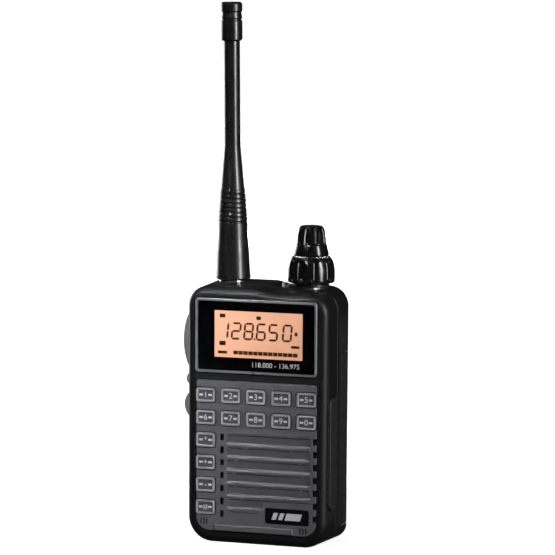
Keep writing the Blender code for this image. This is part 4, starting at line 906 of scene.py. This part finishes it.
def fluted(name, mat, profile, flutes, depth, flute_z, centre, crest, per_flute=20):
    """A knob: a turned profile with round flutes that fade out at both ends. crest is one crest's angle."""
    sides, fade_z = flutes * per_flute, 0.7 * MM
    bm = bmesh.new()
    rings = []
    for r, z in profile:
        fade = max(0.0, min(1.0, (z - flute_z[0]) / fade_z))
        fade *= max(0.0, min(1.0, (flute_z[1] - z) / fade_z))
        ring = []
        for i in range(sides):
            a = 2 * math.pi * i / sides
            reach = r - depth * eased(fade) * max(0.0, -math.cos(flutes * (a - math.radians(crest)))) ** 0.7
            ring.append(Vector((centre[0] + reach * math.cos(a), centre[1] + reach * math.sin(a), z)))
        rings.append(ring)
    add_loft(bm, rings)
    return solid(name, bm, mat, angle=50.0)


def smooth_profile(points, steps=6):
    """A Catmull-Rom curve through (radius, height) points."""
    made = []
    for i in range(len(points) - 1):
        p0, p1, p2, p3 = (Vector(points[max(0, min(len(points) - 1, k))]) for k in (i - 1, i, i + 1, i + 2))
        for k in range(steps):
            t = k / steps
            made.append(tuple(0.5 * ((2 * p1) + (p2 - p0) * t + (2 * p0 - 5 * p1 + 4 * p2 - p3) * t * t
                                     + (3 * p1 - p0 - 3 * p2 + p3) * t ** 3)))
    made.append(tuple(points[-1]))
    return made


def build_knobs():
    centre = (KNOB_X, TOP_Y, 0)
    lower = [(7.2, 84.6), (7.45, 84.7), (7.6, 85.0), (7.65, 86.0), (7.65, 88.2), (7.5, 89.8), (7.3, 90.7),
             (6.85, 92.0), (6.3, 92.75), (6.0, 92.9), (3.0, 92.9)]
    points = smooth_profile(in_mm(lower))
    volume = fluted("volume_dial", KNOB, points, 10, 0.85 * MM, (85.3 * MM, 92.0 * MM), centre, -45.0)
    bore = [(0, 80.0), (6.4, 80.0), (6.4, 85.6), (3.3, 85.6), (3.3, 91.0), (1.9, 91.0), (1.9, 95.0),
            (0, 95.0)]
    cut(volume, turned("cut_bore", in_mm(bore), centre, KNOB))
    settle(volume, "volume", "gloss_black", "volume_knob")

    upper = [(3.0, 93.2), (5.3, 93.2), (5.6, 93.35), (5.7, 93.8), (5.6, 94.8), (5.2, 96.3), (4.85, 97.4),
             (4.75, 98.8), (4.65, 100.2), (4.35, 101.3), (3.95, 102.2), (3.5, 102.7),
             (3.0, 102.87), (1.0, 102.9)]
    points = smooth_profile(in_mm(upper))
    channel = fluted("channel_dial", KNOB, points, 9, 0.6 * MM, (96.8 * MM, 102.4 * MM), centre, -32.0)
    bore = [(0, 90.0), (1.8, 90.0), (1.8, 99.0), (0, 99.0)]
    cut(channel, turned("cut_bore", in_mm(bore), centre, KNOB))
    settle(channel, "channel", "gloss_black", "channel_knob")

    ring = filleted(in_mm([(4.5, 83.3), (5.9, 83.3), (5.9, 84.2), (4.5, 84.2)]), 0.2 * MM)
    settle(turned("knob_collar", ring, centre, BLACK_STEEL), "radio", "steel", "control_nut")
    dome = [(0, 80.4), (2.0, 80.4), (2.0, 81.2), (1.2, 81.2), (1.2, 83.4), (1.05, 83.85), (0.6, 84.12),
            (0, 84.2)]
    lens = turned("status_lens", filleted(in_mm(dome), 0.2 * MM), (INDICATOR_X, INDICATOR_Y, 0), STATUS)
    settle(lens, "radio", "clear_lens", "indicator_lens")


def build_screws():
    for number, (x, z, y) in enumerate(SCREWS, 1):
        bottom = max(y - 8 * MM, -2.4 * MM)
        head = filleted([(0, y - 0.25 * MM), (1.1 * MM, y - 0.28 * MM), (1.6 * MM, y - 0.6 * MM),
                         (1.6 * MM, y - 1.4 * MM), (0.8 * MM, y - 1.4 * MM), (0.8 * MM, bottom),
                         (0, bottom)], 0.15 * MM)
        screw = turned(f"screw_{number}", head, (x, 0, z), BLACK_STEEL, axis="Y", sides=48)
        reach, width = 0.85 * MM, 0.16 * MM
        y_span = (y - 0.75 * MM, y + 1 * MM)
        cross = [boxes("cut_cross", BLACK_STEEL, [((x - w, x + w), y_span, (z - h, z + h))])
                 for w, h in ((reach, width), (width, reach))]
        soften(cut(screw, *cross), 0.04 * MM, 2)
        settle(screw, "radio", "steel", f"case_screw_{number}")


# ---- CAD nodes that stay, with their finishes ----
KEPT = {
    BOARD: ("main_board", "side_switch_board"),
    STEEL: ("rf_shield", "speaker_frame", "speaker_magnet", "control_encoder", "volume_shaft",
            "channel_shaft"),
    CONE: ("speaker_cone",),
    GLOSS: ("audio_jack",),
    COVER_RUBBER: ("keypad_membrane",),
    NICKEL: ("antenna_connector", "microphone"),
    GOLD: ("antenna_element", "battery_terminal_left", "battery_terminal_right", "battery_contact_left",
           "battery_contact_right"),
    INK: ("lcd_backlight",),
    CELL: ("battery_cell",),
}


def finish_kept_nodes():
    for mat, nodes in KEPT.items():
        for node in nodes:
            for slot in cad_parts[node].material_slots:
                slot.material = mat


# ---- camera, light and floor ----
def build_camera():
    yaw, pitch, roll = (math.radians(a) for a in (17.9124, 6.6616, 0.3273))
    right = Vector((math.cos(yaw), math.sin(yaw), 0))
    ahead = Vector((-math.sin(yaw) * math.cos(pitch), math.cos(yaw) * math.cos(pitch), -math.sin(pitch)))
    up = right.cross(ahead)
    place = Vector((0, 0, 44 * MM)) - ahead + right * 2.5785 * MM + up * 41.4924 * MM
    rolled_right = right * math.cos(roll) + up * math.sin(roll)
    turn = Matrix((rolled_right, up * math.cos(roll) - right * math.sin(roll), -ahead))
    data = bpy.data.cameras.new("camera")
    data.sensor_width, data.lens = 36.0, 199.52
    data.clip_start, data.clip_end = 0.01, 100.0
    camera = bpy.data.objects.new("camera", data)
    camera.matrix_world = Matrix.Translation(place) @ turn.transposed().to_4x4()
    bpy.context.scene.collection.objects.link(camera)
    bpy.context.scene.camera = camera


def area_light(name, place, target, size, power, spread=180.0):
    data = bpy.data.lights.new(name, "AREA")
    data.shape, data.size, data.size_y, data.energy = "RECTANGLE", size[0], size[1], power
    data.spread = math.radians(spread)
    light = bpy.data.objects.new(name, data)
    light.location = place
    light.rotation_euler = (Vector(target) - Vector(place)).to_track_quat("-Z", "Y").to_euler()
    bpy.context.scene.collection.objects.link(light)


def build_studio():
    floor_mat = finish("floor_paper", (0.93, 0.93, 0.93), 0.9, mottle=0.01, mottle_scale=3.0, grain=0.02,
                       specular=0.1)
    tree = floor_mat.node_tree
    shader = tree.nodes["Principled BSDF"]
    shader.inputs["Emission Color"].default_value = (1, 1, 1, 1)
    distance = tree.nodes.new("ShaderNodeVectorMath")
    distance.operation = "LENGTH"
    link(tree, tree.nodes.new("ShaderNodeTexCoord").outputs["Object"], distance.inputs[0])
    glow = ranged(tree, distance.outputs["Value"], 0.05, 0.5, 0.72, 1.02)
    link(tree, glow, shader.inputs["Emission Strength"])
    sweep = ((0.5, 0), (2.5, 0), (3.4, 0.1), (4.2, 0.5), (4.7, 1.2), (4.8, 3.0))  # flat, then up far away
    rings = []
    for radius, height in sweep:
        angles = [2 * math.pi * i / 96 for i in range(96)]
        rings.append([Vector((radius * math.cos(a), radius * math.sin(a), height)) for a in angles])
    bm = bmesh.new()
    add_loft(bm, rings, caps=(True, False))
    floor = solid("floor", bm, floor_mat)
    if floor.data.polygons[0].normal.z < 0:
        floor.data.flip_normals()
    floor.visible_diffuse = False
    floor.visible_glossy = False
    floor.visible_transmission = False

    world = bpy.data.worlds.new("studio")
    world.use_nodes = True
    world.node_tree.nodes["Background"].inputs["Color"].default_value = (1, 1, 1, 1)
    world.node_tree.nodes["Background"].inputs["Strength"].default_value = 0.025
    bpy.context.scene.world = world
    bpy.context.scene.view_settings.view_transform = "Standard"

    middle = (0, 0, 70 * MM)
    area_light("right_light", (0.88, -0.34, 0.28), middle, (0.17, 0.7), 8.5)
    area_light("front_light", (-0.22, -0.78, 0.72), (-60 * MM, 0, 80 * MM), (0.09, 0.09), 0.08, 12.0)
    area_light("top_light", (-0.30, -0.12, 1.00), middle, (0.30, 0.30), 0.7)
    area_light("left_light", (-0.80, 0.52, 0.14), middle, (0.4, 0.4), 3.0)
    area_light("back_light", (-0.30, 0.95, 0.035), (0, 0, 35 * MM), (0.6, 0.06), 2.5)


build_camera()
build_studio()
build_front_shell()
build_rear_shell()
build_seals()
build_battery()
build_latch()
build_latch_spring()
build_fascia()
build_keys()
build_display()
build_side_controls()
build_antenna()
build_knobs()
build_screws()
finish_kept_nodes()
